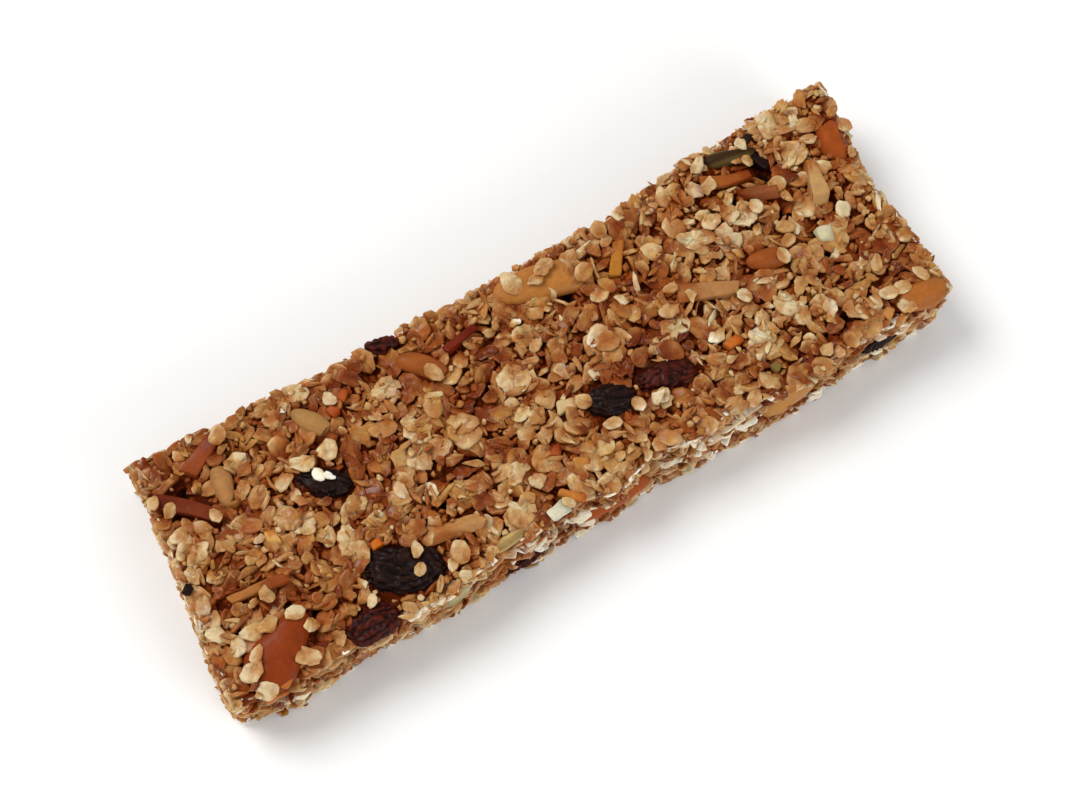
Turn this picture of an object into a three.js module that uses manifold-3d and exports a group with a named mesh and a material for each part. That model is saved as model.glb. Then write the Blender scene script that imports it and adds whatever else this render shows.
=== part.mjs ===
// A baked granola bar: a pressed slab of oat flakes with rough, broken faces, and the raisins,
// almond pieces and pumpkin seeds that are set in it. Millimetres, +Z up, the long side along X.
// The origin is at the middle of the flat face that the bar rests on.

import * as THREE from "three";
import { mergeVertices } from "three/addons/utils/BufferGeometryUtils.js";
import Module from "manifold-3d";

const wasm = await Module();
wasm.setup();

// Overall size of the bar.
const HALF_LENGTH = 59.9;
const HALF_WIDTH = 19.9;
const THICKNESS = 12.6; // of the slab under the flakes that stand on it
const FULL_HEIGHT = 13.8; // to the top of the highest flake

// Edges of the top and of the foot seen from above, as stations of [x, y] along the long sides
// and [y, x] along the ends. The front leans out towards its foot in the middle of the bar, and
// the left end is cut under.
const BACK_TOP = [
  [-60, 18.0], [-48, 17.8], [-40, 17.3], [-20, 17.0], [0, 16.5], [15, 17.0], [25, 17.4], [33, 18.4],
  [41, 18.6], [49, 19.6], [60, 19.6],
];
const BACK_FOOT = [[-60, 18.2], [-20, 17.4], [0, 16.9], [25, 17.8], [49, 19.6], [60, 19.6]];
const FRONT_TOP = [
  [-60, -17.7], [-50, -18.9], [-28, -19.4], [-17, -17.2], [-7, -16.1], [2, -16.9], [37, -16.7], [60, -17.5],
];
const FRONT_FOOT = [
  [-60, -17.3], [-53, -19.0], [-48, -19.6], [-41, -19.0], [-34, -18.5], [-26, -19.3], [-20, -19.2],
  [-8, -18.9], [8, -18.8], [12, -18.5], [19, -18.9], [32, -18.9], [40, -17.8], [60, -17.7],
];
const LEFT_TOP = [
  [-19.6, -58.9], [-13, -58.3], [-4, -57.5], [2, -57.1], [6, -56.3], [10, -55.7], [14, -55.6], [19, -56.2],
];
const LEFT_FOOT = [
  [-19.6, -59.4], [-13, -58.3], [-7, -57.4], [0, -56.6], [5, -55.9], [11, -55.1], [19, -54.6],
];
const RIGHT_TOP = [
  [-19.6, 58.2], [-14, 58.1], [-9, 57.6], [-4, 57.9], [2, 57.2], [5, 57.5], [9, 59.1], [14, 59.0], [19, 59.9],
];
const RIGHT_FOOT = [[-19.6, 57.9], [-9, 57.5], [3, 57.2], [10, 58.6], [19, 59.5]];

// Relief of the broken faces.
const LATTICE_STEPS = [28, 9, 3]; // along X, Y and Z
const TOP_RELIEF = 0.5;
const SIDE_RELIEF = 0.35;
const LATTICE_SHIFT = 0.3; // sideways, as a share of one step
const EDGE_ROUND = 0.2;
const SWELL = 0.3; // slow rise and fall of the top
const SWELL_RUN = [11, 9]; // how far it takes along X and Y
const SWELL_START = [0.6, -0.4];

// Oat flakes fused to the slab.
const FLAKE_SIDES = 5;
const FLAKE_THICKNESS = 1.1;
const FLAKE_TAPER = 0.84; // of its upper face against its lower
const FLAKE_DOME = 1.2; // of its middle against its rim
const FLAKE_NARROWEST = 0.72; // width as a share of length
const FLAKE_WIDEST = 0.94;
const FLAKE_OVAL = 0.12;
const FLAKE_UNEVENNESS = 0.14;
const TOP_FLAKES = { count: 100, largest: 5.2, smallest: 3.1 };
const SIDE_FLAKES = { count: 38, largest: 4.6, smallest: 2.8 };
const END_FLAKES = { count: 12, largest: 4.2, smallest: 2.8 };
const FLAKE_TILT = 20; // degrees, as the spread of the flakes that lie on top
const TOP_FLAKE_LIFT = 0.1; // of its middle over the slab
const TOP_FLAKE_EDGE = 2.0; // from the bar's edges
const LEDGE = 0.65; // that a flake stands out of a cut face
const LEDGE_MARGIN = 4; // from the corners of the bar
const CANDIDATES = 24; // places tried for each flake, of which the emptiest is kept

const CLEARANCE = 0.3; // between the slab and each piece set in it
const FLAKE_CLEARANCE = 0.6; // between a flake and each such piece
const WELL_SIDES = 8; // of the pocket round a rounded piece

// How each kind of piece is shaped. Squareness 2 is an ellipsoid, and higher is closer to a block.
const KINDS = {
  raisin: { squareness: 2.3, wrinkle: 0.11, ridges: 5, roughness: 0.5 },
  kernel: { squareness: 2.2, wrinkle: 0.03, ridges: 3, roughness: 0.6 },
  stick: { squareness: 5, wrinkle: 0.05, ridges: 2, roughness: 0.6 },
  half: { squareness: 2.5, wrinkle: 0.03, ridges: 2, roughness: 0.55 },
  seed: { squareness: 2.1, wrinkle: 0.02, ridges: 2, roughness: 0.5 },
};
const BLOCKY = 4; // squareness from which a piece lies in a square pocket
const FINE_LENGTH = 9.5; // pieces at least this long have finer facets
const RIDGE_TWIST = 3; // radians from a piece's middle to its end

// The pieces set in the slab: name, kind, centre, full size, turn about Z in degrees and colour.
// Some also have a tip about their long axis and a pitch about their width, in degrees, and
// shares by which they narrow and curve towards +X.
const PIECES = [
  set("raisin_1", "raisin", [-30.2, -13.0, 11.3], [11.4, 7.0, 4.2], -26, 0x2b1011),
  set("raisin_2", "raisin", [-37.5, -17.4, 10.8], [8.2, 5.2, 4.0], -1, 0x4a1612),
  set("raisin_3", "raisin", [6.8, -7.1, 11.5], [7.2, 5.0, 4.0], -23, 0x16100f),
  set("raisin_4", "raisin", [15.5, -7.6, 11.4], [8.8, 4.8, 3.8], -16, 0x55261a),
  set("raisin_5", "raisin", [-33.4, 3.0, 11.3], [7.7, 4.4, 3.6], -36, 0x20110f),
  set("raisin_6", "raisin", [-16.4, 16.0, 11.6], [5.2, 2.6, 3.2], -16, 0x3c1512),
  set("raisin_7", "raisin", [47.4, -16.4, 5.2], [7.6, 3.6, 3.6], 0, 0x2b1411),
  set("raisin_8", "raisin", [-13.7, -17.3, 2.6], [8, 4, 3.2], 3, 0x5a1a14),
  set("almond_1", "half", [8.2, 12.6, 11.7], [15.8, 5.4, 3.2], -16, 0xc8965a, { taper: -0.1, bend: 0.14 }),
  set("almond_2", "stick", [18.9, 10.7, 11.7], [7, 2.4, 3], -123, 0xbe7d32, { pitch: 6 }),
  set("almond_3", "half", [-13.2, 10.5, 11.7], [7.8, 3.2, 3], -49, 0xc3733c, { bend: 0.16 }),
  set("almond_4", "stick", [-6.6, 11.2, 12.2], [6.3, 1.9, 2.2], 11, 0x964123),
  set("almond_5", "stick", [-45.5, 14.5, 11.8], [8.4, 2.9, 2.8], 25, 0xaf5f32, { pitch: -5 }),
  set("almond_6", "stick", [-51.2, 8.8, 12.0], [10.2, 2.4, 2.6], -40, 0x8c3c23, { bend: 0.2 }),
  set("almond_7", "kernel", [-45.3, 9.2, 11.8], [6.2, 3, 2.8], -105, 0xc8a06e, { taper: 0.2 }),
  set("almond_8", "half", [-49.6, -14.1, 11.4], [11.8, 6.6, 3.8], 28, 0xa54b1e, { taper: 0.42, pitch: -6 }),
  set("almond_9", "stick", [-48.3, -5.8, 12.2], [9.2, 2, 2.2], -7, 0xa06437),
  set("almond_10", "stick", [-21.1, -12.0, 12.1], [8.4, 2.6, 2.6], -13, 0xcd9155),
  set("almond_11", "half", [1.6, -16.4, 3.9], [14.8, 4.6, 4.2], 0, 0xaf5f2d, { tip: 12 }),
  set("almond_12", "half", [31.0, -16.8, 5.8], [10.4, 4.2, 9.2], 1, 0xc38750),
  set("almond_13", "stick", [50.3, 6.4, 12.1], [7.8, 3, 2.8], -110, 0xc89660, { pitch: -5 }),
  set("almond_14", "half", [56.5, 10.9, 10.6], [7, 4.6, 4.6], -100, 0xc8642a),
  set("almond_15", "stick", [39.2, 12.9, 12.3], [8.5, 2.1, 2.4], -18, 0xb46e3c, { bend: -0.2 }),
  set("almond_16", "stick", [42.1, 8.8, 12.1], [6.9, 2.6, 2.6], -19, 0xaa6e4b),
  set("almond_17", "stick", [26.8, -0.2, 12.4], [10.2, 2.5, 2.4], -25, 0xcda073, { taper: 0.35 }),
  set("almond_18", "kernel", [37.5, -0.2, 12.0], [6.5, 3.3, 2.8], -18, 0xb9733c),
  set("almond_19", "half", [53.9, -15.7, 11.0], [8.6, 4.2, 3.8], -10, 0xc88241),
  set("almond_20", "kernel", [-30.5, 11.1, 12.0], [6.2, 3.2, 2.6], -59, 0xc89b64),
  set("pumpkin_seed_1", "seed", [41.6, 15.9, 11.9], [8.2, 2.4, 3], -13, 0x5c5230, { taper: 0.25 }),
  set("pumpkin_seed_2", "seed", [-15.8, -16.6, 11.0], [5.8, 1.9, 3.6], 4, 0xb9a569, { taper: 0.3, tip: 20 }),
  set("pumpkin_seed_3", "seed", [-24.7, -18.2, 6.5], [6.8, 2.6, 1.9], 10, 0xafaf7d, { taper: 0.3, pitch: 6 }),
];

const OAT_COLOUR = 0x9c6438;
const OAT_ROUGHNESS = 0.75;
const SCATTER_SEED = 7;

/** One row of the table of pieces. */
function set(name, kind, at, size, turn, colour, extras = {}) {
  return { name, kind, at, size, turn, colour, taper: 0, bend: 0, tip: 0, pitch: 0, ...extras };
}

/** A repeatable source of numbers from 0 to 1. */
function seededRandom(seed) {
  let state = seed;
  return function next() {
    state = (state + 0x6d2b79f5) | 0;
    let mixed = Math.imul(state ^ (state >>> 15), 1 | state);
    mixed = (mixed + Math.imul(mixed ^ (mixed >>> 7), 61 | mixed)) ^ mixed;
    return ((mixed ^ (mixed >>> 14)) >>> 0) / 2 ** 32;
  };
}

/** A number from -1 to 1. */
function either(random) {
  return 2 * random() - 1;
}

/** The smooth value at a place along a list of [place, value] stations. */
function along(stations, place) {
  const next = stations.findIndex(([at]) => at >= place);
  if (next === 0) return stations[0][1];
  if (next < 0) return stations.at(-1)[1];
  const [[start, from], [end, to]] = [stations[next - 1], stations[next]];
  return THREE.MathUtils.lerp(from, to, THREE.MathUtils.smoothstep(place, start, end));
}

/** Where a face lies at a place along it, at a share of the bar's height. */
function faceAt(foot, top, place, share) {
  return THREE.MathUtils.lerp(along(foot, place), along(top, place), share);
}

function frontSide(x, share) {
  return faceAt(FRONT_FOOT, FRONT_TOP, x, share);
}

function backSide(x, share) {
  return faceAt(BACK_FOOT, BACK_TOP, x, share);
}

function leftEnd(y, share) {
  return faceAt(LEFT_FOOT, LEFT_TOP, y, share);
}

function rightEnd(y, share) {
  return faceAt(RIGHT_FOOT, RIGHT_TOP, y, share);
}

/** The slow rise and fall of the top. */
function topHeight(x, y) {
  const [alongX, alongY] = [x / SWELL_RUN[0] + SWELL_START[0], y / SWELL_RUN[1] + SWELL_START[1]];
  return THICKNESS + SWELL * Math.sin(alongX) * Math.cos(alongY);
}

/** Merges a closed geometry's vertices by position alone. */
function welded(geometry) {
  geometry.deleteAttribute("normal");
  geometry.deleteAttribute("uv");
  return mergeVertices(geometry);
}

/** Moves every vertex of a geometry by a function that changes it in place. */
function reshape(geometry, change) {
  const points = geometry.attributes.position;
  const point = new THREE.Vector3();
  for (let i = 0; i < points.count; i++) {
    change(point.fromBufferAttribute(points, i));
    points.setXYZ(i, point.x, point.y, point.z);
  }
  return geometry;
}

/** A welded geometry as a solid that can be joined and cut. */
function asSolid(geometry) {
  const mesh = new wasm.Mesh({
    numProp: 3,
    vertProperties: new Float32Array(geometry.attributes.position.array),
    triVerts: new Uint32Array(geometry.index.array),
  });
  return new wasm.Manifold(mesh);
}

/** A solid's largest body, as a geometry. */
function asGeometry(solid) {
  const bodies = solid.decompose().sort((a, b) => b.volume() - a.volume());
  const { vertProperties, triVerts } = bodies[0].getMesh();
  const geometry = new THREE.BufferGeometry();
  geometry.setAttribute("position", new THREE.BufferAttribute(vertProperties, 3));
  geometry.setIndex(new THREE.BufferAttribute(triVerts, 1));
  geometry.computeVertexNormals();
  return geometry;
}

/** Which faces of a box of half size 1 a point of it lies on: -1, 0 or 1 for each axis. */
function facesOf(point) {
  const onFace = (share) => (Math.abs(share) > 1 - Number.EPSILON * 8 ? Math.sign(share) : 0);
  return new THREE.Vector3(onFace(point.x), onFace(point.y), onFace(point.z));
}

/** A lattice point moved a little within its faces, as shares of the bar from 0 to 1. */
function shiftedShares(point, face, random) {
  return point.toArray().map((place, axis) => {
    const free = face.getComponent(axis) === 0;
    const shift = free ? (LATTICE_SHIFT * either(random)) / LATTICE_STEPS[axis] : 0;
    return (place + shift + 1) / 2;
  });
}

/** The bare slab: a lattice box drawn to the bar's outline, with a rough top, sides and ends. */
function slabSolid(random) {
  const geometry = welded(new THREE.BoxGeometry(2, 2, 2, ...LATTICE_STEPS));
  reshape(geometry, (point) => {
    const face = facesOf(point);
    const onBottom = face.z < 0;
    const faceCount = Math.abs(face.x) + Math.abs(face.y) + (onBottom ? 0 : face.z);
    const [u, v, w] = shiftedShares(point, face, random);
    const flatY = THREE.MathUtils.lerp(-HALF_WIDTH, HALF_WIDTH, v);
    let x = THREE.MathUtils.lerp(leftEnd(flatY, w), rightEnd(flatY, w), u);
    let y = THREE.MathUtils.lerp(frontSide(x, w), backSide(x, w), v);
    let z = w * topHeight(x, y);
    const rounding = faceCount > 1 ? EDGE_ROUND : 0;
    x += face.x * (SIDE_RELIEF * either(random) - rounding);
    y += face.y * (SIDE_RELIEF * either(random) - rounding);
    if (face.z > 0) z += TOP_RELIEF * either(random) - rounding;
    point.set(x, y, onBottom ? 0 : z);
  });
  return asSolid(geometry);
}

/** An oat flake: an uneven disc with a raised middle, in its own XY plane. */
function flakeGeometry(length, random) {
  const geometry = welded(new THREE.CylinderGeometry(FLAKE_TAPER, 1, 1, FLAKE_SIDES).rotateX(Math.PI / 2));
  const [ovalPhase, cornerPhase] = [random(), random()].map((share) => share * 2 * Math.PI);
  const width = length * THREE.MathUtils.lerp(FLAKE_NARROWEST, FLAKE_WIDEST, random());
  return reshape(geometry, (point) => {
    const angle = Math.atan2(point.y, point.x);
    const oval = FLAKE_OVAL * Math.sin(2 * angle + ovalPhase);
    const corners = FLAKE_UNEVENNESS * Math.sin(3 * angle + cornerPhase);
    const reach = (1 + oval + corners) / 2;
    const dome = point.x === 0 && point.y === 0 ? FLAKE_DOME : 1;
    point.set(point.x * reach * length, point.y * reach * width, point.z * dome * FLAKE_THICKNESS);
  });
}

/** Flakes of falling size over a rectangle, each in the emptiest of a few random places. */
function spreadFlakes({ count, largest, smallest }, [fromU, toU], [fromV, toV], random, isFree) {
  const placed = [];
  for (let i = 0; i < count; i++) {
    const length = THREE.MathUtils.lerp(largest, smallest, i / (count - 1));
    let best = null;
    for (let tries = 0; tries < CANDIDATES; tries++) {
      const u = THREE.MathUtils.lerp(fromU, toU, random());
      const v = THREE.MathUtils.lerp(fromV, toV, random());
      const gaps = placed.map((other) => Math.hypot(other.u - u, other.v - v) - other.length / 2);
      const room = Math.min(...gaps, Infinity);
      if (isFree(u, v, length) && (!best || room > best.room)) best = { u, v, length, room };
    }
    if (best) placed.push(best);
  }
  return placed;
}

/** Whether a flake of this length at this point stays clear of every piece set in the slab. */
function clearOfPieces(point, length) {
  const upward = new THREE.Vector3(0, 0, 1);
  return PIECES.every(({ at, size, turn }) => {
    const offset = new THREE.Vector3(...at).sub(point);
    offset.applyAxisAngle(upward, -THREE.MathUtils.degToRad(turn));
    const gap = offset.toArray().map((reach, axis) => Math.max(0, Math.abs(reach) - size[axis] / 2));
    return Math.hypot(...gap) > length / 2 + FLAKE_CLEARANCE;
  });
}

/** A flake's solid at a point, turned about Z and then tilted. */
function flakeSolid(point, length, tilt, random) {
  const turn = random() * 2 * Math.PI;
  const tips = [either(random), either(random)].map((share) => THREE.MathUtils.degToRad(tilt * share));
  const turned = new THREE.Euler(tips[0], tips[1], turn);
  const pose = new THREE.Matrix4().makeRotationFromEuler(turned).setPosition(point);
  return asSolid(flakeGeometry(length, random).applyMatrix4(pose));
}

/** Flakes that lie over the top, half sunk. */
function topFlakes(random) {
  const place = (x, y) => new THREE.Vector3(x, y, topHeight(x, y) + TOP_FLAKE_LIFT);
  const isFree = (x, y, length) =>
    y > frontSide(x, 1) + TOP_FLAKE_EDGE && y < backSide(x, 1) - TOP_FLAKE_EDGE &&
    x > leftEnd(y, 1) + TOP_FLAKE_EDGE && x < rightEnd(y, 1) - TOP_FLAKE_EDGE &&
    clearOfPieces(place(x, y), length);
  return spreadFlakes(TOP_FLAKES, [-HALF_LENGTH, HALF_LENGTH], [-HALF_WIDTH, HALF_WIDTH], random, isFree)
    .map(({ u, v, length }) => flakeSolid(place(u, v), length, FLAKE_TILT, random));
}

/** Flakes that show edge-on in a face, as ledges: place gives their centre from a run and a height. */
function ledgeFlakes(flakes, halfRun, place, random) {
  const run = [LEDGE_MARGIN - halfRun, halfRun - LEDGE_MARGIN];
  const heights = [FLAKE_THICKNESS, THICKNESS - FLAKE_THICKNESS];
  const isFree = (u, z, length) => clearOfPieces(place(u, z, length), length);
  return spreadFlakes(flakes, run, heights, random, isFree)
    .map(({ u, v, length }) => flakeSolid(place(u, v, length), length, FLAKE_TILT / 2, random));
}

/** The ledges of both long sides and both ends. */
function sideFlakes(random) {
  const inset = (length) => length / 2 - LEDGE;
  const share = (z) => z / THICKNESS;
  const inFront = (x, z, length) => new THREE.Vector3(x, frontSide(x, share(z)) + inset(length), z);
  const inBack = (x, z, length) => new THREE.Vector3(x, backSide(x, share(z)) - inset(length), z);
  const inLeft = (y, z, length) => new THREE.Vector3(leftEnd(y, share(z)) + inset(length), y, z);
  const inRight = (y, z, length) => new THREE.Vector3(rightEnd(y, share(z)) - inset(length), y, z);
  return [
    ...ledgeFlakes(SIDE_FLAKES, HALF_LENGTH, inFront, random),
    ...ledgeFlakes(SIDE_FLAKES, HALF_LENGTH, inBack, random),
    ...ledgeFlakes(END_FLAKES, HALF_WIDTH, inLeft, random),
    ...ledgeFlakes(END_FLAKES, HALF_WIDTH, inRight, random),
  ];
}

/** The shape of a piece about its own centre. */
function pieceGeometry({ kind, size, taper, bend }) {
  const { squareness, wrinkle, ridges } = KINDS[kind];
  const half = size.map((extent) => extent / 2);
  const geometry = welded(new THREE.IcosahedronGeometry(1, size[0] < FINE_LENGTH ? 1 : 2));
  return reshape(geometry, (point) => {
    const sum = point.toArray().reduce((total, share) => total + Math.abs(share) ** squareness, 0);
    point.multiplyScalar(sum ** (-1 / squareness));
    const phase = ridges * Math.atan2(point.z, point.y) + RIDGE_TWIST * point.x;
    const ridge = 1 - (wrinkle * (1 + Math.sin(phase))) / 2;
    const width = ridge * (1 - taper * point.x);
    const sweep = bend * half[1] * (1 - 2 * point.x ** 2);
    point.set(point.x * half[0], point.y * half[1] * width + sweep, point.z * half[2] * ridge);
  });
}

/** Where a piece lies: tipped about its long axis, pitched about its width, then turned about Z. */
function piecePose({ at, turn, tip, pitch }) {
  const angles = [tip, pitch, turn].map(THREE.MathUtils.degToRad);
  return new THREE.Matrix4().makeRotationFromEuler(new THREE.Euler(...angles, "ZYX")).setPosition(...at);
}

/** A piece as its own mesh, placed in the slab. */
function pieceMesh(row) {
  const geometry = pieceGeometry(row);
  geometry.computeVertexNormals();
  const { roughness } = KINDS[row.kind];
  const material = new THREE.MeshStandardMaterial({ color: row.colour, roughness });
  const mesh = new THREE.Mesh(geometry, material);
  mesh.name = row.name;
  mesh.applyMatrix4(piecePose(row));
  return mesh;
}

/** The space kept open for a piece: a box round a block, and a many-sided well round the others. */
function pocketSolid(row) {
  const { squareness } = KINDS[row.kind];
  const isBlock = squareness > BLOCKY;
  const sides = isBlock ? 4 : WELL_SIDES;
  const shoulder = isBlock ? 1 : 2 ** (1 / 2 - 1 / squareness);
  const radius = shoulder / Math.cos(Math.PI / sides);
  const geometry = welded(new THREE.CylinderGeometry(radius, radius, 2, sides));
  const widest = 1 + Math.abs(row.taper) + Math.abs(row.bend);
  const [length, width, height] = row.size.map((extent) => extent / 2 + CLEARANCE);
  geometry.rotateY(Math.PI / sides).rotateX(Math.PI / 2);
  geometry.scale(length, width * widest, height).applyMatrix4(piecePose(row));
  return asSolid(geometry);
}

/** The box that the broken faces and flakes are trimmed to. */
function envelopeSolid() {
  const box = new THREE.BoxGeometry(2 * HALF_LENGTH, 2 * HALF_WIDTH, FULL_HEIGHT);
  return asSolid(welded(box.translate(0, 0, FULL_HEIGHT / 2)));
}

/** The oat slab with its flakes, and a pocket for each piece. */
function oatSlabMesh() {
  const random = seededRandom(SCATTER_SEED);
  const parts = [slabSolid(random), ...topFlakes(random), ...sideFlakes(random)];
  const pockets = wasm.Manifold.union(PIECES.map(pocketSolid));
  const solid = wasm.Manifold.union(parts).intersect(envelopeSolid()).subtract(pockets);
  const material = new THREE.MeshStandardMaterial({ color: OAT_COLOUR, roughness: OAT_ROUGHNESS });
  const mesh = new THREE.Mesh(asGeometry(solid), material);
  mesh.name = "oat_slab";
  return mesh;
}

const bar = new THREE.Group();
bar.name = "granola_bar";
bar.add(oatSlabMesh(), ...PIECES.map(pieceMesh));

export default bar;
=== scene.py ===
"""A baked granola bar: oat flakes pressed in honey syrup, with raisins, almond pieces and seeds.

The bar's outer faces are read from the CAD solids. Oat pieces then settle on each face, one by
one, round the raisins, nuts and seeds, over a dark core of syrup and crumbs. Lengths are in
millimetres until a mesh is made, and in metres from there on.
"""

import logging
import math
from dataclasses import dataclass, field, replace
from enum import Enum
from functools import cached_property

import bmesh
import bpy
import numpy as np
from mathutils import Matrix, Vector
from mathutils.bvhtree import BVHTree


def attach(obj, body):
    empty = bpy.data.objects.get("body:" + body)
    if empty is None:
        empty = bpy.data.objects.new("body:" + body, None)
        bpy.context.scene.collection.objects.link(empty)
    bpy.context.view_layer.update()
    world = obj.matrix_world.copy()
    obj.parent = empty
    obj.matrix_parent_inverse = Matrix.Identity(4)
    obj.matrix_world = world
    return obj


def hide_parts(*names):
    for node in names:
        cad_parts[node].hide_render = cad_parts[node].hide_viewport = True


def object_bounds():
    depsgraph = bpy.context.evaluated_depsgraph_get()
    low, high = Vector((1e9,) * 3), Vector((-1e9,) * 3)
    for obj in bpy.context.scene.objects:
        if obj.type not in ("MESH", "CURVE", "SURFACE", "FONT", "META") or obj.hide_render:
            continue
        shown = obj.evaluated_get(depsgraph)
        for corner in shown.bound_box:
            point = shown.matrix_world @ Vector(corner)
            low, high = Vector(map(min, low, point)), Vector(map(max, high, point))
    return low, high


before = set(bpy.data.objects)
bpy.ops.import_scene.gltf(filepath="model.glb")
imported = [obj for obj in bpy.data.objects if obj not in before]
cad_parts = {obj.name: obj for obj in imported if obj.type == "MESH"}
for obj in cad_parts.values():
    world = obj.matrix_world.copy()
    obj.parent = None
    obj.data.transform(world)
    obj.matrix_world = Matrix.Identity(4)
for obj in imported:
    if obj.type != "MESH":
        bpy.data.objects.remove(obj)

CAD_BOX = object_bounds()
MM = 0.001
PER_MM = 1000.0
# The lowest and the highest corner of the CAD solids, in millimetres.
CAD_LOW, CAD_HIGH = (np.array(corner) * PER_MM for corner in CAD_BOX)
BODY = "root"
LOG = logging.getLogger("granola_bar")

Array = np.ndarray
Random = np.random.Generator
Socket = bpy.types.NodeSocket
# A place along and across a face, in millimetres.
Spot = tuple[float, float]
# A display colour: red, green and blue from 0 to 255.
Shade = tuple[int, int, int]


# ---- Faces of the bar, and how far the CAD solids reach in each ----


class Side(Enum):
    """The faces of the bar, each as its along, across and outward directions."""

    TOP = ((1, 0, 0), (0, 1, 0), (0, 0, 1))
    BOTTOM = ((1, 0, 0), (0, -1, 0), (0, 0, -1))
    FRONT = ((1, 0, 0), (0, 0, 1), (0, -1, 0))
    BACK = ((-1, 0, 0), (0, 0, 1), (0, 1, 0))
    LEFT = ((0, -1, 0), (0, 0, 1), (-1, 0, 0))
    RIGHT = ((0, 1, 0), (0, 0, 1), (1, 0, 0))

    @property
    def axes(self) -> Array:
        """The three directions as the rows of a matrix."""
        return np.array(self.value, float)

    @property
    def outward(self) -> Array:
        """The outward direction."""
        return self.axes[2]

    @property
    def span(self) -> tuple[Array, Array]:
        """The lowest and the highest corner of the CAD solids, in these directions."""
        corners = self.axes @ CAD_LOW, self.axes @ CAD_HIGH
        return np.minimum(*corners), np.maximum(*corners)


CUT_SIDES = (Side.FRONT, Side.BACK, Side.LEFT, Side.RIGHT)

# Roughly how far out each face lies, in its own outward direction.
FACE_PLACES = {
    Side.TOP: 12.0, Side.BOTTOM: -0.5, Side.FRONT: 17.5, Side.BACK: 17.5, Side.LEFT: 57.5, Side.RIGHT: 57.5,
}

# Where a cut side swells or draws in, in millimetres: how far along the bar or across it, over what
# width, and by how much.
SWELLS = {
    Side.FRONT: (
        (-52.0, 4.0, 0.9), (-24.0, 4.0, 0.4), (-12.0, 6.0, 0.7), (1.4, 3.2, 1.5), (8.2, 2.4, -0.5),
        (14.0, 3.2, 0.8), (27.0, 4.0, 0.8), (34.0, 5.0, 1.4), (44.0, 2.0, -0.2), (48.0, 3.5, 0.6),
        (56.0, 2.5, 0.3),
    ),
    Side.BACK: (
        (-56.0, 2.0, -0.2), (-40.0, 2.0, -0.2), (-36.0, 2.5, 0.5), (-24.0, 3.5, -0.35), (4.2, 2.4, 1.1),
        (12.0, 2.0, 0.3), (20.0, 3.5, -1.0), (29.0, 2.4, 0.3), (36.0, 2.6, 0.6), (48.0, 6.0, 0.2),
    ),
    Side.LEFT: ((3.0, 8.0, -0.55), (15.5, 4.0, -1.0)),
    Side.RIGHT: ((-14.0, 3.0, 0.5), (-4.5, 4.0, 0.5), (10.0, 4.5, 1.2), (17.0, 4.0, 0.2)),
}


def smoothstep(values: Array, low: float, high: float) -> Array:
    """A smooth rise from 0 at low to 1 at high."""
    share = np.clip((values - low) / (high - low), 0, 1)
    return share * share * (3 - 2 * share)


def blurred(grid: Array, reach: int) -> Array:
    """A grid with each value replaced, twice over, by the mean of those round it.

    Args:
        grid: the values.
        reach: how many cells away the others may lie, along either axis.

    Returns:
        The blurred values.
    """
    width = 2 * reach + 1
    for _ in range(2):
        for axis in (0, 1):
            pads = [(reach + 1, reach) if axis == each else (0, 0) for each in (0, 1)]
            sums = np.moveaxis(np.cumsum(np.pad(grid, pads, mode="edge"), axis=axis), axis, 0)
            grid = np.moveaxis((sums[width:] - sums[:-width]) / width, 0, axis)
    return grid


# Large primes that scramble a lattice corner and a seed into a number that looks random.
PRIMES = tuple(map(np.uint32, (374761393, 668265263, 2246822519, 3266489917)))
SEED_STRIDE = 7919


@dataclass(frozen=True)
class SoftNoise:
    """Smooth seeded noise in space, from -1 to 1."""

    seed: int

    def _corner(self, cell: Array) -> Array:
        """The value at each lattice corner.

        Args:
            cell: whole-number corner positions, one row each.

        Returns:
            One value from -1 to 1 for each row.
        """
        keys = (cell.astype(np.int64) & 0xFFFFFFFF).astype(np.uint32)
        mixed = keys[..., 0] * PRIMES[0] ^ keys[..., 1] * PRIMES[1]
        mixed = mixed ^ (keys[..., 2] * PRIMES[2] + np.uint32(self.seed * SEED_STRIDE))
        for shift, prime in ((15, PRIMES[2]), (13, PRIMES[3])):
            mixed = (mixed ^ (mixed >> np.uint32(shift))) * prime
        mixed = mixed ^ (mixed >> np.uint32(16))
        return mixed.astype(float) / 2**31 - 1

    def at(self, points: Array, scale: float) -> Array:
        """Noise at points, with bumps of about the given scale.

        Args:
            points: positions, one row each.
            scale: the distance from one bump to the next.

        Returns:
            One value from -1 to 1 for each point.
        """
        place = points / scale
        cell = np.floor(place)
        share = place - cell
        share = share * share * (3 - 2 * share)
        total = np.zeros(len(points))
        for corner in np.ndindex(2, 2, 2):
            weight = np.prod(np.where(corner, share, 1 - share), axis=1)
            total += weight * self._corner(cell + corner)
        return total


@dataclass
class ReachMap:
    """How far a face reaches outward, on a grid of along and across places."""

    values: Array
    low: Array
    step: float

    def at(self, along: Array, across: Array) -> Array:
        """The reach at any places, from the four nearest grid values.

        Args:
            along: places along the face.
            across: places across the face.

        Returns:
            The outward position of the face at each place.
        """
        size = np.array(self.values.shape) - 1
        i = np.clip((along - self.low[0]) / self.step, 0, size[0] - 1e-6)
        j = np.clip((across - self.low[1]) / self.step, 0, size[1] - 1e-6)
        i0, j0 = i.astype(int), j.astype(int)
        fi, fj = i - i0, j - j0
        grid = self.values
        near = grid[i0, j0] * (1 - fj) + grid[i0, j0 + 1] * fj
        far = grid[i0 + 1, j0] * (1 - fj) + grid[i0 + 1, j0 + 1] * fj
        return near * (1 - fi) + far * fi


# Stands for the reach of a face where no ray hits it.
NOWHERE = -999.0


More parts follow.
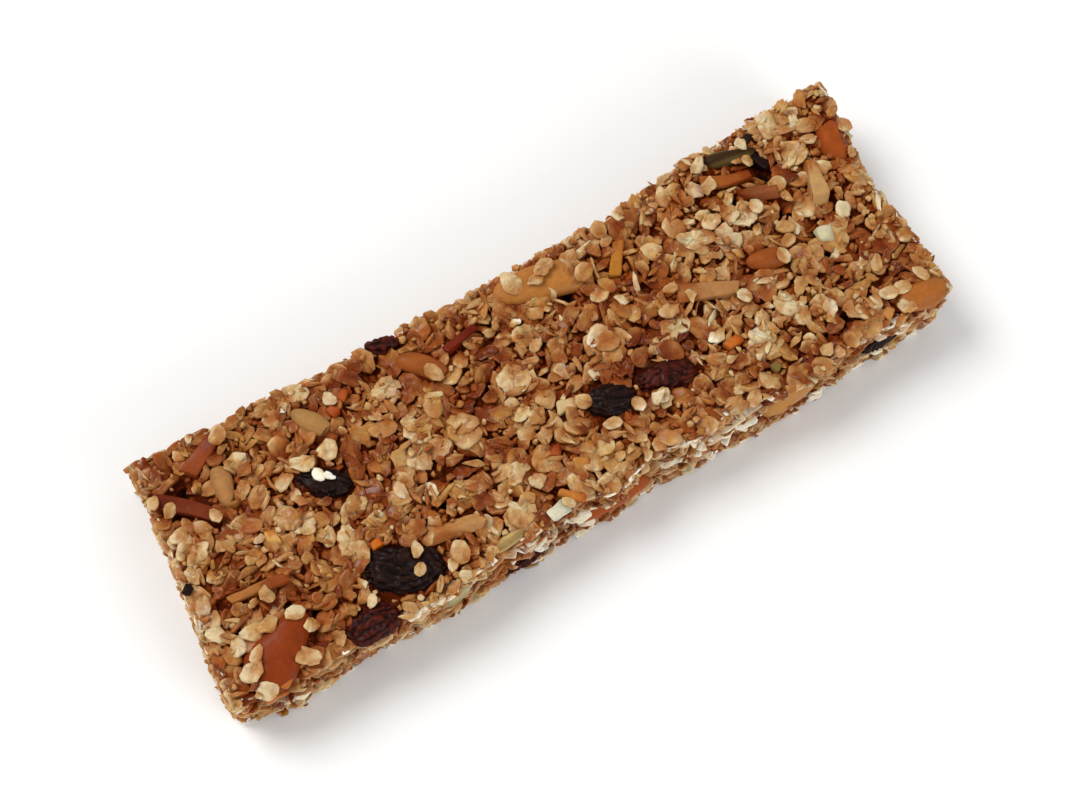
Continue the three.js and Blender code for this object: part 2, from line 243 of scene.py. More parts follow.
@dataclass
class Envelope:
    """The bar's outer faces, measured on the CAD solids by rays and smoothed.

    Of what stands out of a face, the press and the knife leave only a share, the give. The tray
    under the bar gives less, and the oats on it lie a little clear of the floor, by the lift and
    by a share of how far each may stand out.
    """

    step: float = 1.0
    margin: float = 0.5
    side_bottom_margin: float = 1.3
    side_top_margin: float = 2.6
    ray_start: float = 10.0
    believed_within: float = 3.2
    window: int = 6
    smoothing: int = 2
    give: float = 0.3
    tray_give: float = 0.05
    lift: float = 0.18
    lift_share: float = 0.3
    maps: dict[Side, ReachMap] = field(default_factory=dict)

    def __post_init__(self) -> None:
        """Measures every face but the flat bottom."""
        tree = self._tree()
        for side in (Side.TOP, *CUT_SIDES):
            self.maps[side] = self._measure(tree, side)

    @staticmethod
    def _tree() -> BVHTree:
        """Gathers all the CAD solids for the rays.

        Returns:
            The search tree, in millimetres.
        """
        points: list[Vector] = []
        polygons: list[list[int]] = []
        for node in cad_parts.values():
            start = len(points)
            points += [vertex.co * PER_MM for vertex in node.data.vertices]
            polygons += [[start + i for i in face.vertices] for face in node.data.polygons]
        return BVHTree.FromPolygons(points, polygons)

    def _measure(self, tree: BVHTree, side: Side) -> ReachMap:
        """Casts a grid of rays at one face.

        Args:
            tree: the solids.
            side: the face to measure.

        Returns:
            The smoothed reach of the face.
        """
        axes = side.axes
        low, high = side.span
        first, last = low + self.margin, high - self.margin
        if side in CUT_SIDES:
            first[1] = CAD_LOW[2] + self.side_bottom_margin
            last[1] = CAD_HIGH[2] - self.side_top_margin
        along = np.arange(first[0], last[0] + self.step, self.step)
        across = np.arange(first[1], last[1] + self.step, self.step)
        values = np.full((len(along), len(across)), np.nan)
        away, inward = last[2] + self.ray_start, Vector(-axes[2])
        for i, u in enumerate(along):
            for j, v in enumerate(across):
                start = axes.T @ np.array([u, v, away])
                hit = tree.ray_cast(Vector(start), inward)[0]
                if hit is not None:
                    values[i, j] = axes[2] @ np.array(hit)
        values[values < self._furthest(values, side) - self.believed_within] = np.nan
        return ReachMap(self._smoothed(values), np.array([first[0], first[1]]), self.step)

    def _furthest(self, values: Array, side: Side) -> Array:
        """Finds the furthest that a face reaches near each place.

        Args:
            values: the reach at each place of a grid.
            side: the face.

        Returns:
            One value for the top, and for a cut side one for each place along it.
        """
        if side not in CUT_SIDES:
            return np.nanmax(values)
        furthest = np.nan_to_num(values, nan=NOWHERE).max(axis=1)
        padded = np.pad(furthest, self.window, mode="edge")
        spans = range(2 * self.window + 1)
        return np.max([padded[a : a + len(furthest)] for a in spans], axis=0)[:, None]

    def _smoothed(self, values: Array) -> Array:
        """Fills places that no ray hit, drops narrow pits and bumps, and softens the rest.

        Args:
            values: the reach at each place of a grid.

        Returns:
            The smoothed grid.
        """
        grid = values.copy()
        while np.isnan(grid).any():
            around = np.stack([np.roll(grid, (a, b), (0, 1)) for a in (-1, 0, 1) for b in (-1, 0, 1)])
            with np.errstate(all="ignore"):
                known = (~np.isnan(around)).sum(0)
                fill = np.nansum(around, 0) / np.maximum(known, 1)
            grid = np.where(np.isnan(grid) & (known > 0), fill, grid)
        grid = np.median(self._window(grid, 2), axis=0)
        for _ in range(self.smoothing):
            grid = self._window(grid, 1).mean(axis=0)
        return grid

    @staticmethod
    def _window(grid: Array, reach: int) -> Array:
        """Every value's neighbours within a square window, stacked.

        Args:
            grid: the values.
            reach: how many cells away the neighbours may lie.

        Returns:
            One shifted copy of the grid for each neighbour.
        """
        padded = np.pad(grid, reach, mode="edge")
        rows, columns = grid.shape
        spans = range(2 * reach + 1)
        return np.stack([padded[a : a + rows, b : b + columns] for a in spans for b in spans])

    def reach(self, side: Side, points: Array) -> Array:
        """How far a face reaches outward beside each point.

        Args:
            side: the face.
            points: positions, one row each.

        Returns:
            The face's outward position beside each point.
        """
        if side is Side.BOTTOM:
            return np.zeros(len(points))
        axes = side.axes
        reach = self.maps[side].at(points @ axes[0], points @ axes[1])
        along = points[:, 0 if side in (Side.FRONT, Side.BACK) else 1]
        for place, width, amount in SWELLS.get(side, ()):
            reach = reach + amount * np.exp(-(((along - place) / width) ** 2))
        return reach

    def depth(self, points: Array) -> Array:
        """How deep each point lies under the nearest face."""
        depths = [self.reach(side, points) - points @ side.outward for side in Side]
        return np.min(depths, axis=0)

    def pressed(self, points: Array, allowance: Array) -> tuple[Array, Array]:
        """Points moved in to where the press and the knife left them.

        Args:
            points: positions, one row each.
            allowance: how far each point may stand out of the faces.

        Returns:
            The new positions, and how far each stood out of a cut side.
        """
        moved = points.copy()
        cut = np.zeros(len(points))
        for side in (*CUT_SIDES, Side.TOP, Side.BOTTOM):
            outward = side.outward
            room, left = self.reach(side, moved) + allowance, self.give
            if side is Side.BOTTOM:
                room, left = -self.lift - allowance * self.lift_share, self.tray_give
            over = np.maximum(moved @ outward - room, 0)
            moved -= (over * (1 - left))[:, None] * outward
            if side in CUT_SIDES:
                cut = np.maximum(cut, over)
        return moved, cut


# ---- Oat pieces ----


@dataclass(frozen=True)
class Template:
    """One oat piece about its own centre, lying in its XY plane.

    The rim mark runs from -1 at the foot to 1 at the upper edge, and shade is its own change of tone.
    """

    points: Array
    triangles: Array
    rim: Array
    shade: Array

    @property
    def samples(self) -> Array:
        """Points spread over the surface."""
        return np.vstack([self.points, self.points[self.triangles].mean(axis=1)])


# The rings of points from a piece's foot to its upper edge. Each has its share of the outline, its
# height as a share of the thickness, and its rim mark.
CHIP_RINGS = ((0.86, -0.48, -1.0), (1.0, 0.0, 0.2), (0.94, 0.42, 0.8), (0.55, 0.52, 0.0))
FLAKE_RINGS = ((0.88, -0.5, -1.0), (1.0, 0.0, 0.2), (0.95, 0.42, 0.8), (0.72, 0.5, 0.2), (0.38, 0.5, 0.0))
CRUMB_RINGS = ((0.8, -0.45, -1.0), (1.0, 0.0, 0.0), (0.78, 0.42, 0.5))
WAFER_RINGS = ((0.92, -0.46, 1.0), (1.0, 0.0, 1.0), (0.9, 0.46, 1.0))
TRAY_RINGS = ((0.84, -0.45, -0.4), (1.0, 0.1, 0.4), (0.9, 0.46, 0.5))
# How far below and above its middle a piece reaches, as shares of its thickness.
FOOT, CROWN = -0.48, 0.52
# The length in millimetres of a piece whose ripple and cup are those of its form.
USUAL_LENGTH = 3.0


@dataclass(frozen=True)
class OatForm:
    """How one kind of oat piece is shaped. Sizes are ranges in millimetres."""

    length: tuple[float, float]
    slenderness: tuple[float, float]
    thickness: tuple[float, float]
    corners: tuple[int, int] = (4, 6)
    raggedness: float = 0.3
    corner_cut: tuple[float, float] = (0.05, 0.2)
    nibble: float = 0.07
    crease: float = 0.05
    cup: float = 0.04
    ripple: float = 0.07
    unevenness: float = 0.1
    shading: float = 0.1
    rings: tuple[tuple[float, float, float], ...] = CHIP_RINGS
    fine_edge: bool = True

    def template(self, random: Random) -> Template:
        """Makes one piece of this kind.

        Args:
            random: the source of chance.

        Returns:
            The finished shape.
        """
        length = random.uniform(*self.length)
        width = length * random.uniform(*self.slenderness)
        thickness = random.uniform(*self.thickness)
        outline = self._outline(random) * (length / 2, width / 2)
        count = len(outline)
        ripples = random.normal(0, self.ripple * length / USUAL_LENGTH, count)
        ripples = (ripples + np.roll(ripples, 1)) / 1.4
        points, rim = [np.array([[0, 0, FOOT * thickness]])], [np.array([-1.0])]
        for share, height, edge in self.rings:
            spread = share * (1 + random.uniform(-0.5, 0.5, count) * self.unevenness)
            heights = height + random.normal(0, self.unevenness, count) * (1 if edge > -1 else 0.3)
            ring = np.column_stack([outline * spread[:, None], heights * thickness + share * ripples])
            points.append(ring)
            rim.append(np.full(count, edge))
        points.append(np.array([[0, 0, CROWN * thickness]]))
        rim.append(np.array([0.0]))
        stacked = np.vstack(points)
        toward = random.normal(0, self.shading, 2)
        shade = stacked[:, :2] @ toward / (length / 2)
        self._bend(stacked, length, width, random)
        return Template(stacked, self._faces(count, len(self.rings)), np.concatenate(rim), shade)

    def _outline(self, random: Random) -> Array:
        """A broken flake's outline from -1 to 1: a few corners, each cut off a little.

        Args:
            random: the source of chance.

        Returns:
            The outline's points, one row each.
        """
        count = int(random.integers(self.corners[0], self.corners[1] + 1))
        angles = (np.arange(count) + random.uniform(-0.3, 0.3, count)) * 2 * math.pi / count
        reach = random.uniform(1 - self.raggedness, 1, count)
        corners = np.column_stack([reach * np.cos(angles), reach * np.sin(angles)])
        before, after = np.roll(corners, 1, axis=0), np.roll(corners, -1, axis=0)
        cut = random.uniform(*self.corner_cut, (2, count, 1))
        first, last = corners + (before - corners) * cut[0], corners + (after - corners) * cut[1]
        middle = (last + np.roll(first, -1, axis=0)) / 2 * (1 + random.normal(0, self.nibble, (count, 1)))
        parts = [first, last, middle] if self.fine_edge else [first, last]
        outline = np.stack(parts, axis=1).reshape(-1, 2)
        return outline / np.abs(outline).max(axis=0)

    def _bend(self, points: Array, length: float, width: float, random: Random) -> None:
        """Cups and twists a piece, and presses the oat's crease along its top.

        Args:
            points: the piece's points, which are moved.
            length: its length.
            width: its width.
            random: the source of chance.
        """
        along, across = points[:, 0] / (length / 2), points[:, 1] / (width / 2)
        upper = smoothstep(points[:, 2], 0, 0.3)
        cup, twist = random.normal(0, self.cup, 2) * length / USUAL_LENGTH
        groove = self.crease * random.uniform(0.2, 1.6)
        points[:, 2] += cup * (along**2 - 0.4) + twist * along * across
        points[:, 2] -= groove * upper * np.exp(-((across * 3.2) ** 2))

    @staticmethod
    def _faces(count: int, rings: int) -> Array:
        """Triangles that close the rings, with a fan at each end.

        Args:
            count: how many points a ring has.
            rings: how many rings there are.

        Returns:
            Three point numbers for each triangle.
        """
        around = np.arange(count)
        following = (around + 1) % count
        faces = [np.column_stack([np.zeros(count, int), 1 + following, 1 + around])]
        for ring in range(rings - 1):
            low, high = 1 + ring * count, 1 + (ring + 1) * count
            faces.append(np.column_stack([low + around, low + following, high + following]))
            faces.append(np.column_stack([low + around, high + following, high + around]))
        last, tip = 1 + (rings - 1) * count, 1 + rings * count
        faces.append(np.column_stack([last + around, last + following, np.full(count, tip)]))
        return np.vstack(faces)


class Oat(Enum):
    """The kinds of oat piece in the bar."""

    CHIP = OatForm(
        (2.2, 4.3), (0.54, 0.92), (0.42, 0.8), (4, 7), 0.36, (0.04, 0.3), nibble=0.12, crease=0.09, cup=0.07,
        ripple=0.11, unevenness=0.16, shading=0.18,
    )
    FLAKE = OatForm(
        (3.4, 5.0), (0.66, 0.92), (0.5, 0.75), (5, 8), 0.22, (0.12, 0.34), nibble=0.1, crease=0.14, cup=0.07,
        ripple=0.15, rings=FLAKE_RINGS,
    )
    ROLLED = OatForm(
        (2.8, 4.5), (0.6, 0.84), (0.55, 0.85), (7, 9), 0.12, (0.26, 0.45), nibble=0.04, crease=0.2, cup=0.07,
        ripple=0.07, unevenness=0.09, shading=0.16, rings=FLAKE_RINGS, fine_edge=False,
    )
    GROAT = OatForm(
        (2.4, 3.8), (0.38, 0.52), (0.9, 1.3), (6, 7), 0.12, (0.25, 0.4), crease=0.18, ripple=0.05,
    )
    SLIVER = OatForm(
        (2.2, 4.2), (0.2, 0.36), (0.35, 0.7), (4, 5), 0.2, crease=0.0, cup=0.22, rings=CRUMB_RINGS,
        fine_edge=False,
    )
    WAFER = OatForm(
        (2.6, 5.2), (0.55, 0.9), (0.28, 0.5), nibble=0.12, ripple=0.12, cup=0.12, rings=WAFER_RINGS,
        fine_edge=False,
    )
    TRAY_FLAKE = OatForm(
        (2.6, 4.8), (0.6, 0.92), (0.4, 0.7), (4, 7), 0.34, (0.06, 0.3), rings=TRAY_RINGS,
    )
    CRUMB = OatForm(
        (0.6, 1.7), (0.6, 1.0), (0.4, 0.9), (4, 5), 0.2, crease=0.0, cup=0.05, rings=CRUMB_RINGS,
        fine_edge=False,
    )


@dataclass(frozen=True)
class Settled:
    """One oat piece where it settled.

    Its template's number, its turn and size as a matrix, the place of its centre, its tone from 0,
    dark and soaked, to 1, pale and dry, how far it may stand out of a pressed or cut face, the face
    that it lies on, and its number there.
    """

    template: int
    turn: Array
    place: Array
    tone: float
    allowance: float
    side: Side
    number: int


@dataclass
class Scatter:
    """Oat pieces of one kind: the shapes that it comes in, and the pieces that have settled."""

    templates: list[Template]
    pieces: list[Settled] = field(default_factory=list)

    def keep_shown(self, side: Side, shown: set[int]) -> None:
        """Drops the pieces on one face that other pieces hide."""
        self.pieces = [piece for piece in self.pieces if piece.side is not side or piece.number in shown]


@dataclass(frozen=True)
class Landmark:
    """A flake with a place of its own on top: where, how long and how pale."""

    place: Spot
    length: float
    tone: float


@dataclass(frozen=True)
class Lie:
    """How a piece comes to lie.

    How far it tilts, in degrees, the share of its contact points that may sink in, how far it may
    stand over the face's limit, in millimetres, and whether it may lie on a raisin, nut or seed.
    """

    spread: float
    sink: float
    allowance: float
    anywhere: bool = False


# How much paler the oats on top grow towards the bar's right end, and from where to where.
PALER_END = 0.16
PALER_STRETCH = (5.0, 60.0)
# How much darker they are where they are soaked: partly syrup, partly painted shade where sunken.
SOAK_AND_SHADE_DARKENING = 0.36
# The most of a piece that may lie on raisins and nuts, and the least of it that has to show, which
# is what stands out of the bed by at least a hair's breadth, in millimetres.
MOST_ON_OTHERS, LEAST_SHOWN, STANDS_OUT = 0.2, 0.2, 0.03
# How much fuller a cell counts, in millimetres, where a raisin, a nut or a pit is kept free.
AVOIDANCE = 5.0
# How much the pieces of one kind differ in size.
SIZES = (0.85, 1.15)
# A placed flake over this length, in millimetres, gets a smaller one that leans on it. The smaller
# one's size and distance are shares of the large one's.
CLUMP_LENGTH, LEANING_SIZE, LEANING_SHIFT = 4.0, 0.7, 0.34
LEANING_SPREAD, LEANING_SINK, LEANING_DARKENING = 16.0, 0.1, 0.06


@dataclass
class Bed:
    """The surface that pieces settle on, seen square on to one face.

    The bare core lies at a depth under the face, and soaked areas sink by the relief. Pieces follow
    the slope under them in part, or stand edge on. Cells are taken from just inside the face's
    edge, and pieces overhang it a little, but stay under the top. Lengths are in millimetres, and
    the reach of a slope and of the mean surface in cells.
    """

    side: Side
    envelope: Envelope
    random: Random
    depth: float = 1.6
    roughness: float = 0.35
    relief: float = 0.0
    cell: float = 0.25
    edge_on: bool = False
    slope_reach: int = 4
    follow: float = 0.5
    steepest: float = 0.8
    mean_reach: int = 4
    edge: float = 0.15
    overhang: float = 0.6
    under_top: float = 0.9

    def __post_init__(self) -> None:
        """Lays out the grid, its limit and the bare core under it."""
        axes = self.side.axes
        low, high = self.side.span
        self.low = low[:2]
        self.shape = tuple(np.ceil((high - low)[:2] / self.cell).astype(int) + 1)
        along, across = np.meshgrid(*(np.arange(n) * self.cell for n in self.shape), indexing="ij")
        flat = np.column_stack([along.ravel() + self.low[0], across.ravel() + self.low[1]])
        outward = np.full(len(flat), FACE_PLACES[self.side])
        self.grid_points = np.column_stack([flat, outward]) @ axes
        reach = self.envelope.reach(self.side, self.grid_points).reshape(self.shape)
        rough = SoftNoise(31 + len(self.side.name)).at(self.grid_points, 1.4).reshape(self.shape)
        self.height = reach - self.depth + self.roughness * rough
        # How soaked and sunken each cell is; it also darkens the oats there as painted shade.
        self.soaked = self._soaking_and_shade()
        self.limit = reach - self.relief * self.soaked
        self.owner = np.zeros(self.shape, int)
        self.blocked = np.zeros(self.shape, bool)
        self.open_cells = np.argwhere(self._inside())
        self.count = 0

    def _soaking_and_shade(self) -> Array:
        """Works out how soaked and sunken the face is, which also sets the painted shade on the oats there.

        Returns:
            One value from 0 to 1 for each cell.
        """
        low = SoftNoise(63).at(self.grid_points, 4.2) * 0.7 + SoftNoise(64).at(self.grid_points, 2.1) * 0.3
        share = 0.75 * smoothstep(low, 0.02, 0.42)
        if self.side is Side.TOP:
            for place, radius, strength in SOAKED_AND_SHADED_AREAS:
                away = np.hypot(*(self.grid_points[:, :2] - place).T)
                share = share + strength * np.exp(-((away / radius) ** 2)) * (0.7 + low)
        return np.clip(share, 0, 1).reshape(self.shape)

    def _inside(self) -> Array:
        """Works out which cells lie within the face's outline.

        Returns:
            Whether each cell is inside.
        """
        inside = np.ones(len(self.grid_points), bool)
        for side in Side:
            if abs(side.outward @ self.side.outward) < 0.5:
                beside = self.envelope.reach(side, self.grid_points) - self.grid_points @ side.outward
                inside &= beside > self.edge
        return inside.reshape(self.shape)

    def cells(self, local: Array) -> tuple[Array, Array]:
        """The rows and the columns of the grid cells under points in the face's own directions."""
        places = ((local[:, :2] - self.low) / self.cell + 0.5).astype(int)
        return tuple(np.clip(places, 0, np.array(self.shape) - 1).T)

    def _cell_at(self, spot: Spot) -> tuple[int, int]:
        """The grid cell at a place along and across the face."""
        i, j = self.cells(np.array([spot]))
        return int(i[0]), int(j[0])

    @staticmethod
    def _grown(cells: Array, times: int) -> Array:
        """Cells with their neighbours added, so that gaps between points close.

        Args:
            cells: which cells are taken.
            times: how many cells are added on each side.

        Returns:
            Which cells are taken afterwards.
        """
        for _ in range(times):
            padded = np.pad(cells, 1)
            cells = cells | padded[2:, 1:-1] | padded[:-2, 1:-1] | padded[1:-1, 2:] | padded[1:-1, :-2]
        return cells

    @classmethod
    def _shrunk(cls, cells: Array, times: int) -> Array:
        """Cells without those at their edge."""
        return ~cls._grown(~cells, times)

    def lay_solid(self, points: Array, overlap: int, shows_within: float = 1.0) -> None:
        """Sets a raisin, nut or seed in the bed, so that oats settle round it.

        Args:
            points: positions all over the piece.
            overlap: how many cells of its edge the oats may cover.
            shows_within: how near the face its top lies where it stays uncovered.
        """
        local = points @ self.side.axes.T
        i, j = self.cells(local)
        near = local[:, 2] > self.height[i, j]
        i, j, top = i[near], j[near], local[near, 2]
        np.maximum.at(self.height, (i, j), top)
        shows = top > self.limit[i, j] - shows_within
        covered = np.zeros(self.shape, bool)
        covered[i[shows], j[shows]] = True
        self.blocked |= self._shrunk(self._grown(covered, 1), 1 + overlap)

    def hollow(self, place: Spot, radius: float) -> None:
        """Keeps a pit free, so that the dark core, painted nearly black there as shade, shows in it."""
        away = np.hypot(*((self.grid_points @ self.side.axes.T)[:, :2] - place).T)
        self.blocked |= (away < radius).reshape(self.shape)

    def _guard(self) -> None:
        """Keeps other pieces off most of the last one."""
        self.blocked |= self._shrunk(self.owner == self.count, 1)

    def _turn(self, spot: tuple[int, int], spread: float) -> Array:
        """A random rotation for a piece that lies on the slope at a cell.

        Args:
            spot: the cell.
            spread: how far pieces tilt from the slope, in degrees.

        Returns:
            The rotation, with the piece's directions as columns in the face's own frame.
        """
        wobble = self.random.normal(0, math.tan(math.radians(spread)), 2)
        if self.edge_on:
            normal = np.array([wobble[0], 1.0, wobble[1]])
            heading = self.random.uniform(0, 2 * math.pi)
            ahead = np.array([math.cos(heading), 0.0, math.sin(heading)])
        else:
            (i, j), reach = spot, self.slope_reach
            i0, i1 = max(i - reach, 0), min(i + reach, self.shape[0] - 1)
            j0, j1 = max(j - reach, 0), min(j + reach, self.shape[1] - 1)
            slope = np.array([
                (self.height[i1, j] - self.height[i0, j]) / ((i1 - i0) * self.cell),
                (self.height[i, j1] - self.height[i, j0]) / ((j1 - j0) * self.cell),
            ])
            lean = -self.follow * np.clip(slope, -self.steepest, self.steepest) + wobble
            normal = np.array([lean[0], lean[1], 1.0])
            heading = self.random.uniform(0, 2 * math.pi)
            ahead = np.array([math.cos(heading), math.sin(heading), 0.0])
        normal /= np.linalg.norm(normal)
        ahead -= normal * (ahead @ normal)
        ahead /= np.linalg.norm(ahead)
        flip = 1 if self.random.random() < 0.5 else -1
        return np.column_stack([ahead, np.cross(normal, ahead) * flip, normal])

    def _neediest(self, tries: int) -> tuple[int, int]:
        """Finds the emptiest of a few random cells.

        Args:
            tries: how many cells are compared.

        Returns:
            The row and the column of the best.
        """
        picks = self.open_cells[self.random.integers(0, len(self.open_cells), tries)]
        i, j = picks[:, 0], picks[:, 1]
        need = self.limit[i, j] - self.height[i, j] - AVOIDANCE * self.blocked[i, j]
        best = int(np.argmax(need))
        return int(i[best]), int(j[best])

    def _rest(self, samples: Array, spot: Spot, lie: Lie) -> float | None:
        """Lowers a piece until it rests on the bed, and pushes it down to the face's limit.

        Args:
            samples: points all over the turned piece, about its centre.
            spot: where its centre goes.
            lie: how it comes to lie.

        Returns:
            The outward position of its centre, or None where it would hardly show.
        """
        i, j = self.cells(samples[:, :2] + spot)
        if not lie.anywhere and self.blocked[i, j].mean() > MOST_ON_OTHERS:
            return None
        gap = self.height[i, j] - samples[:, 2]
        room = float(self.limit[i, j].min()) + lie.allowance
        position = min(float(np.quantile(gap, 1 - lie.sink)), room - samples[:, 2].max())
        reached = samples[:, 2] + position
        if (reached > self.height[i, j] + STANDS_OUT).mean() < LEAST_SHOWN:
            return None
        self.count += 1
        higher = reached > self.height[i, j]
        np.maximum.at(self.height, (i, j), reached)
        self.owner[i[higher], j[higher]] = self.count
        return position

    def place(self, scatter: Scatter, tone: float, lie: Lie, tries: int) -> None:
        """Settles one random piece where the bed is emptiest.

        Args:
            scatter: the kind of piece, which keeps it.
            tone: its tone.
            lie: how it comes to lie.
            tries: how many cells are compared.
        """
        cell = self._neediest(tries)
        # Soaked, sunken cells darken the piece: partly syrup, partly painted shade.
        tone -= SOAK_AND_SHADE_DARKENING * float(self.soaked[cell])
        if self.side is Side.TOP:
            tone += PALER_END * float(smoothstep(self.low[0] + cell[0] * self.cell, *PALER_STRETCH))
        template = self._any_template(scatter)
        turn = self._turn(cell, lie.spread) * self.random.uniform(*SIZES)
        self._set_down(scatter, template, turn, self._spot(cell), tone, lie)

    def _any_template(self, scatter: Scatter) -> int:
        """The number of a random shape of one kind."""
        return int(self.random.integers(len(scatter.templates)))

    def _kept_in(self, samples: Array, spot: Spot) -> Spot:
        """Moves a piece in from the edges of the face, so that it hardly hangs over them.

        Args:
            samples: points all over the turned piece, about its centre.
            spot: where its centre would go.

        Returns:
            Where its centre goes instead.
        """
        place = np.array(spot)
        for side in Side:
            away = self.side.axes[:2] @ side.outward
            if abs(away).max() < 0.5:
                continue
            point = np.array([*place, FACE_PLACES[self.side]]) @ self.side.axes
            reach = float(self.envelope.reach(side, point[None])[0])
            room = -self.under_top if self.edge_on and side is Side.TOP else self.overhang
            over = (samples[:, :2] @ away).max() + place @ away - reach - room
            place -= away * max(over, 0)
        return float(place[0]), float(place[1])

    def _spot(self, cell: tuple[int, int]) -> Spot:
        """A random place in a cell."""
        along, across = self.low + (np.array(cell) + self.random.uniform(-0.5, 0.5, 2)) * self.cell
        return float(along), float(across)

    def lay_flake(self, scatter: Scatter, flake: Landmark, lie: Lie) -> None:
        """Lays a flake of a given size at a given place, on whatever is there.

        Args:
            scatter: the kind of piece, which keeps it.
            flake: its place, length and tone.
            lie: how it comes to lie.
        """
        template = self._any_template(scatter)
        size = flake.length / np.ptp(scatter.templates[template].points[:, 0])
        turn = self._turn(self._cell_at(flake.place), lie.spread) * size
        if self._set_down(scatter, template, turn, flake.place, flake.tone, lie):
            self._guard()
        if flake.length > CLUMP_LENGTH:
            self._lean_on(scatter, flake, size * LEANING_SIZE, lie)

    def _lean_on(self, scatter: Scatter, flake: Landmark, size: float, lie: Lie) -> None:
        """Leans a smaller flake on a large one, so that they look like one crumpled clump.

        Args:
            scatter: the kind of piece, which keeps it.
            flake: the large flake's place, length and tone.
            size: the smaller flake's size as a share of its template's.
            lie: how the large flake came to lie.
        """
        template = self._any_template(scatter)
        angle = self.random.uniform(0, 2 * math.pi)
        shift = LEANING_SHIFT * flake.length * np.array([math.cos(angle), math.sin(angle)])
        spot = tuple(np.array(flake.place) + shift)
        turn = self._turn(self._cell_at(spot), LEANING_SPREAD) * size
        leaning = replace(lie, spread=LEANING_SPREAD, sink=LEANING_SINK)
        self._set_down(scatter, template, turn, spot, flake.tone - LEANING_DARKENING, leaning)

    def _set_down(self, scatter: Scatter, template: int, turn: Array, spot: Spot, tone: float,
                  lie: Lie) -> bool:
        """Settles one given piece at one given place.

        Args:
            scatter: the kind of piece, which keeps it.
            template: which shape it has.
            turn: its rotation and size in the face's own frame.
            spot: where it goes.
            tone: its tone.
            lie: how it comes to lie.

        Returns:
            Whether it shows there.
        """
        samples = scatter.templates[template].samples @ turn.T
        spot = self._kept_in(samples, spot)
        position = self._rest(samples, spot, lie)
        if position is None:
            return False
        axes = self.side.axes
        centre = np.array([*spot, position]) @ axes
        settled = Settled(template, axes.T @ turn, centre, tone, lie.allowance, self.side, self.count)
        scatter.pieces.append(settled)
        return True

    def sunk(self, points: Array) -> Array:
        """How far each point lies under the mean of the finished surface round it."""
        return self.mean_at(points) - points @ self.side.outward

    @cached_property
    def mean_surface(self) -> Array:
        """The mean height of the finished surface round each cell."""
        return blurred(self.height, self.mean_reach)

    def mean_at(self, points: Array) -> Array:
        """The mean height of the finished surface round each point."""
        return self.mean_surface[self.cells(points @ self.side.axes.T)]

    def shown(self, least: int) -> set[int]:
        """The numbers of the pieces that own at least some cells of the surface."""
        numbers, cells = np.unique(self.owner, return_counts=True)
        return set(numbers[cells >= least].tolist())


# ---- Meshes ----


@dataclass
class Shape:
    """A closed mesh of triangles in millimetres, with values on its points."""

    points: Array
    triangles: Array
    marks: dict[str, Array] = field(default_factory=dict)

    def to_object(self, name: str, slot: str, material: bpy.types.Material) -> bpy.types.Object:
        """Makes the Blender object, dresses it and sets it on the bar's body.

        Args:
            name: the piece's name.
            slot: a material slot; not used.
            material: the finish.

        Returns:
            The finished object.
        """
        mesh = bpy.data.meshes.new(name)
        mesh.vertices.add(len(self.points))
        mesh.vertices.foreach_set("co", (self.points * MM).astype(np.float32).ravel())
        count = len(self.triangles)
        mesh.loops.add(count * 3)
        mesh.loops.foreach_set("vertex_index", self.triangles.astype(np.int32).ravel())
        mesh.polygons.add(count)
        mesh.polygons.foreach_set("loop_start", np.arange(0, count * 3, 3, dtype=np.int32))
        mesh.polygons.foreach_set("use_smooth", np.ones(count, bool))
        mesh.update(calc_edges=True)
        for mark, values in self.marks.items():
            layer = mesh.attributes.new(mark, "FLOAT", "POINT")
            layer.data.foreach_set("value", values.astype(np.float32))
        mesh.materials.append(material)
        piece = bpy.data.objects.new(name, mesh)
        bpy.context.scene.collection.objects.link(piece)
        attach(piece, BODY)
        LOG.info("%s: %d triangles", name, count)
        return piece


def joined(shapes: list[Shape]) -> Shape:
    """Joins several shapes.

    Args:
        shapes: shapes with the same marks.

    Returns:
        One shape with all their triangles.
    """
    starts = np.cumsum([0] + [len(shape.points) for shape in shapes[:-1]])
    points = np.vstack([shape.points for shape in shapes])
    triangles = np.vstack([shape.triangles + start for shape, start in zip(shapes, starts)])
    marks = {mark: np.concatenate([shape.marks[mark] for shape in shapes]) for mark in shapes[0].marks}
    return Shape(points, triangles, marks)


def evaluated_shape(mesh_builder: bmesh.types.BMesh, modifiers: list[tuple[str, dict]]) -> Shape:
    """Applies modifiers to a mesh and gives the result as triangles.

    Args:
        mesh_builder: the mesh in millimetres, which is freed.
        modifiers: each modifier's type and settings, in order.

    Returns:
        The resulting shape.
    """
    mesh = bpy.data.meshes.new("workpiece")
    mesh_builder.to_mesh(mesh)
    mesh_builder.free()
    holder = bpy.data.objects.new("workpiece", mesh)
    bpy.context.scene.collection.objects.link(holder)
    for kind, settings in modifiers:
        modifier = holder.modifiers.new(kind.lower(), kind)
        for setting, value in settings.items():
            setattr(modifier, setting, value)
    graph = bpy.context.evaluated_depsgraph_get()
    result = holder.evaluated_get(graph).to_mesh()
    result.calc_loop_triangles()
    points = np.empty(len(result.vertices) * 3, np.float32)
    result.vertices.foreach_get("co", points)
    triangles = np.empty(len(result.loop_triangles) * 3, np.int32)
    result.loop_triangles.foreach_get("vertices", triangles)
    holder.evaluated_get(graph).to_mesh_clear()
    bpy.data.objects.remove(holder)
    bpy.data.meshes.remove(mesh)
    return Shape(points.reshape(-1, 3).astype(float), triangles.reshape(-1, 3))


def solid_builder(node: str) -> bmesh.types.BMesh:
    """Gives a CAD solid's mesh in millimetres, with its shared corners joined.

    Args:
        node: the solid's name.

    Returns:
        The mesh.
    """
    builder = bmesh.new()
    builder.from_mesh(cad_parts[node].data)
    bmesh.ops.scale(builder, vec=Vector((PER_MM,) * 3), verts=builder.verts)
    bmesh.ops.remove_doubles(builder, verts=builder.verts, dist=0.002)
    return builder


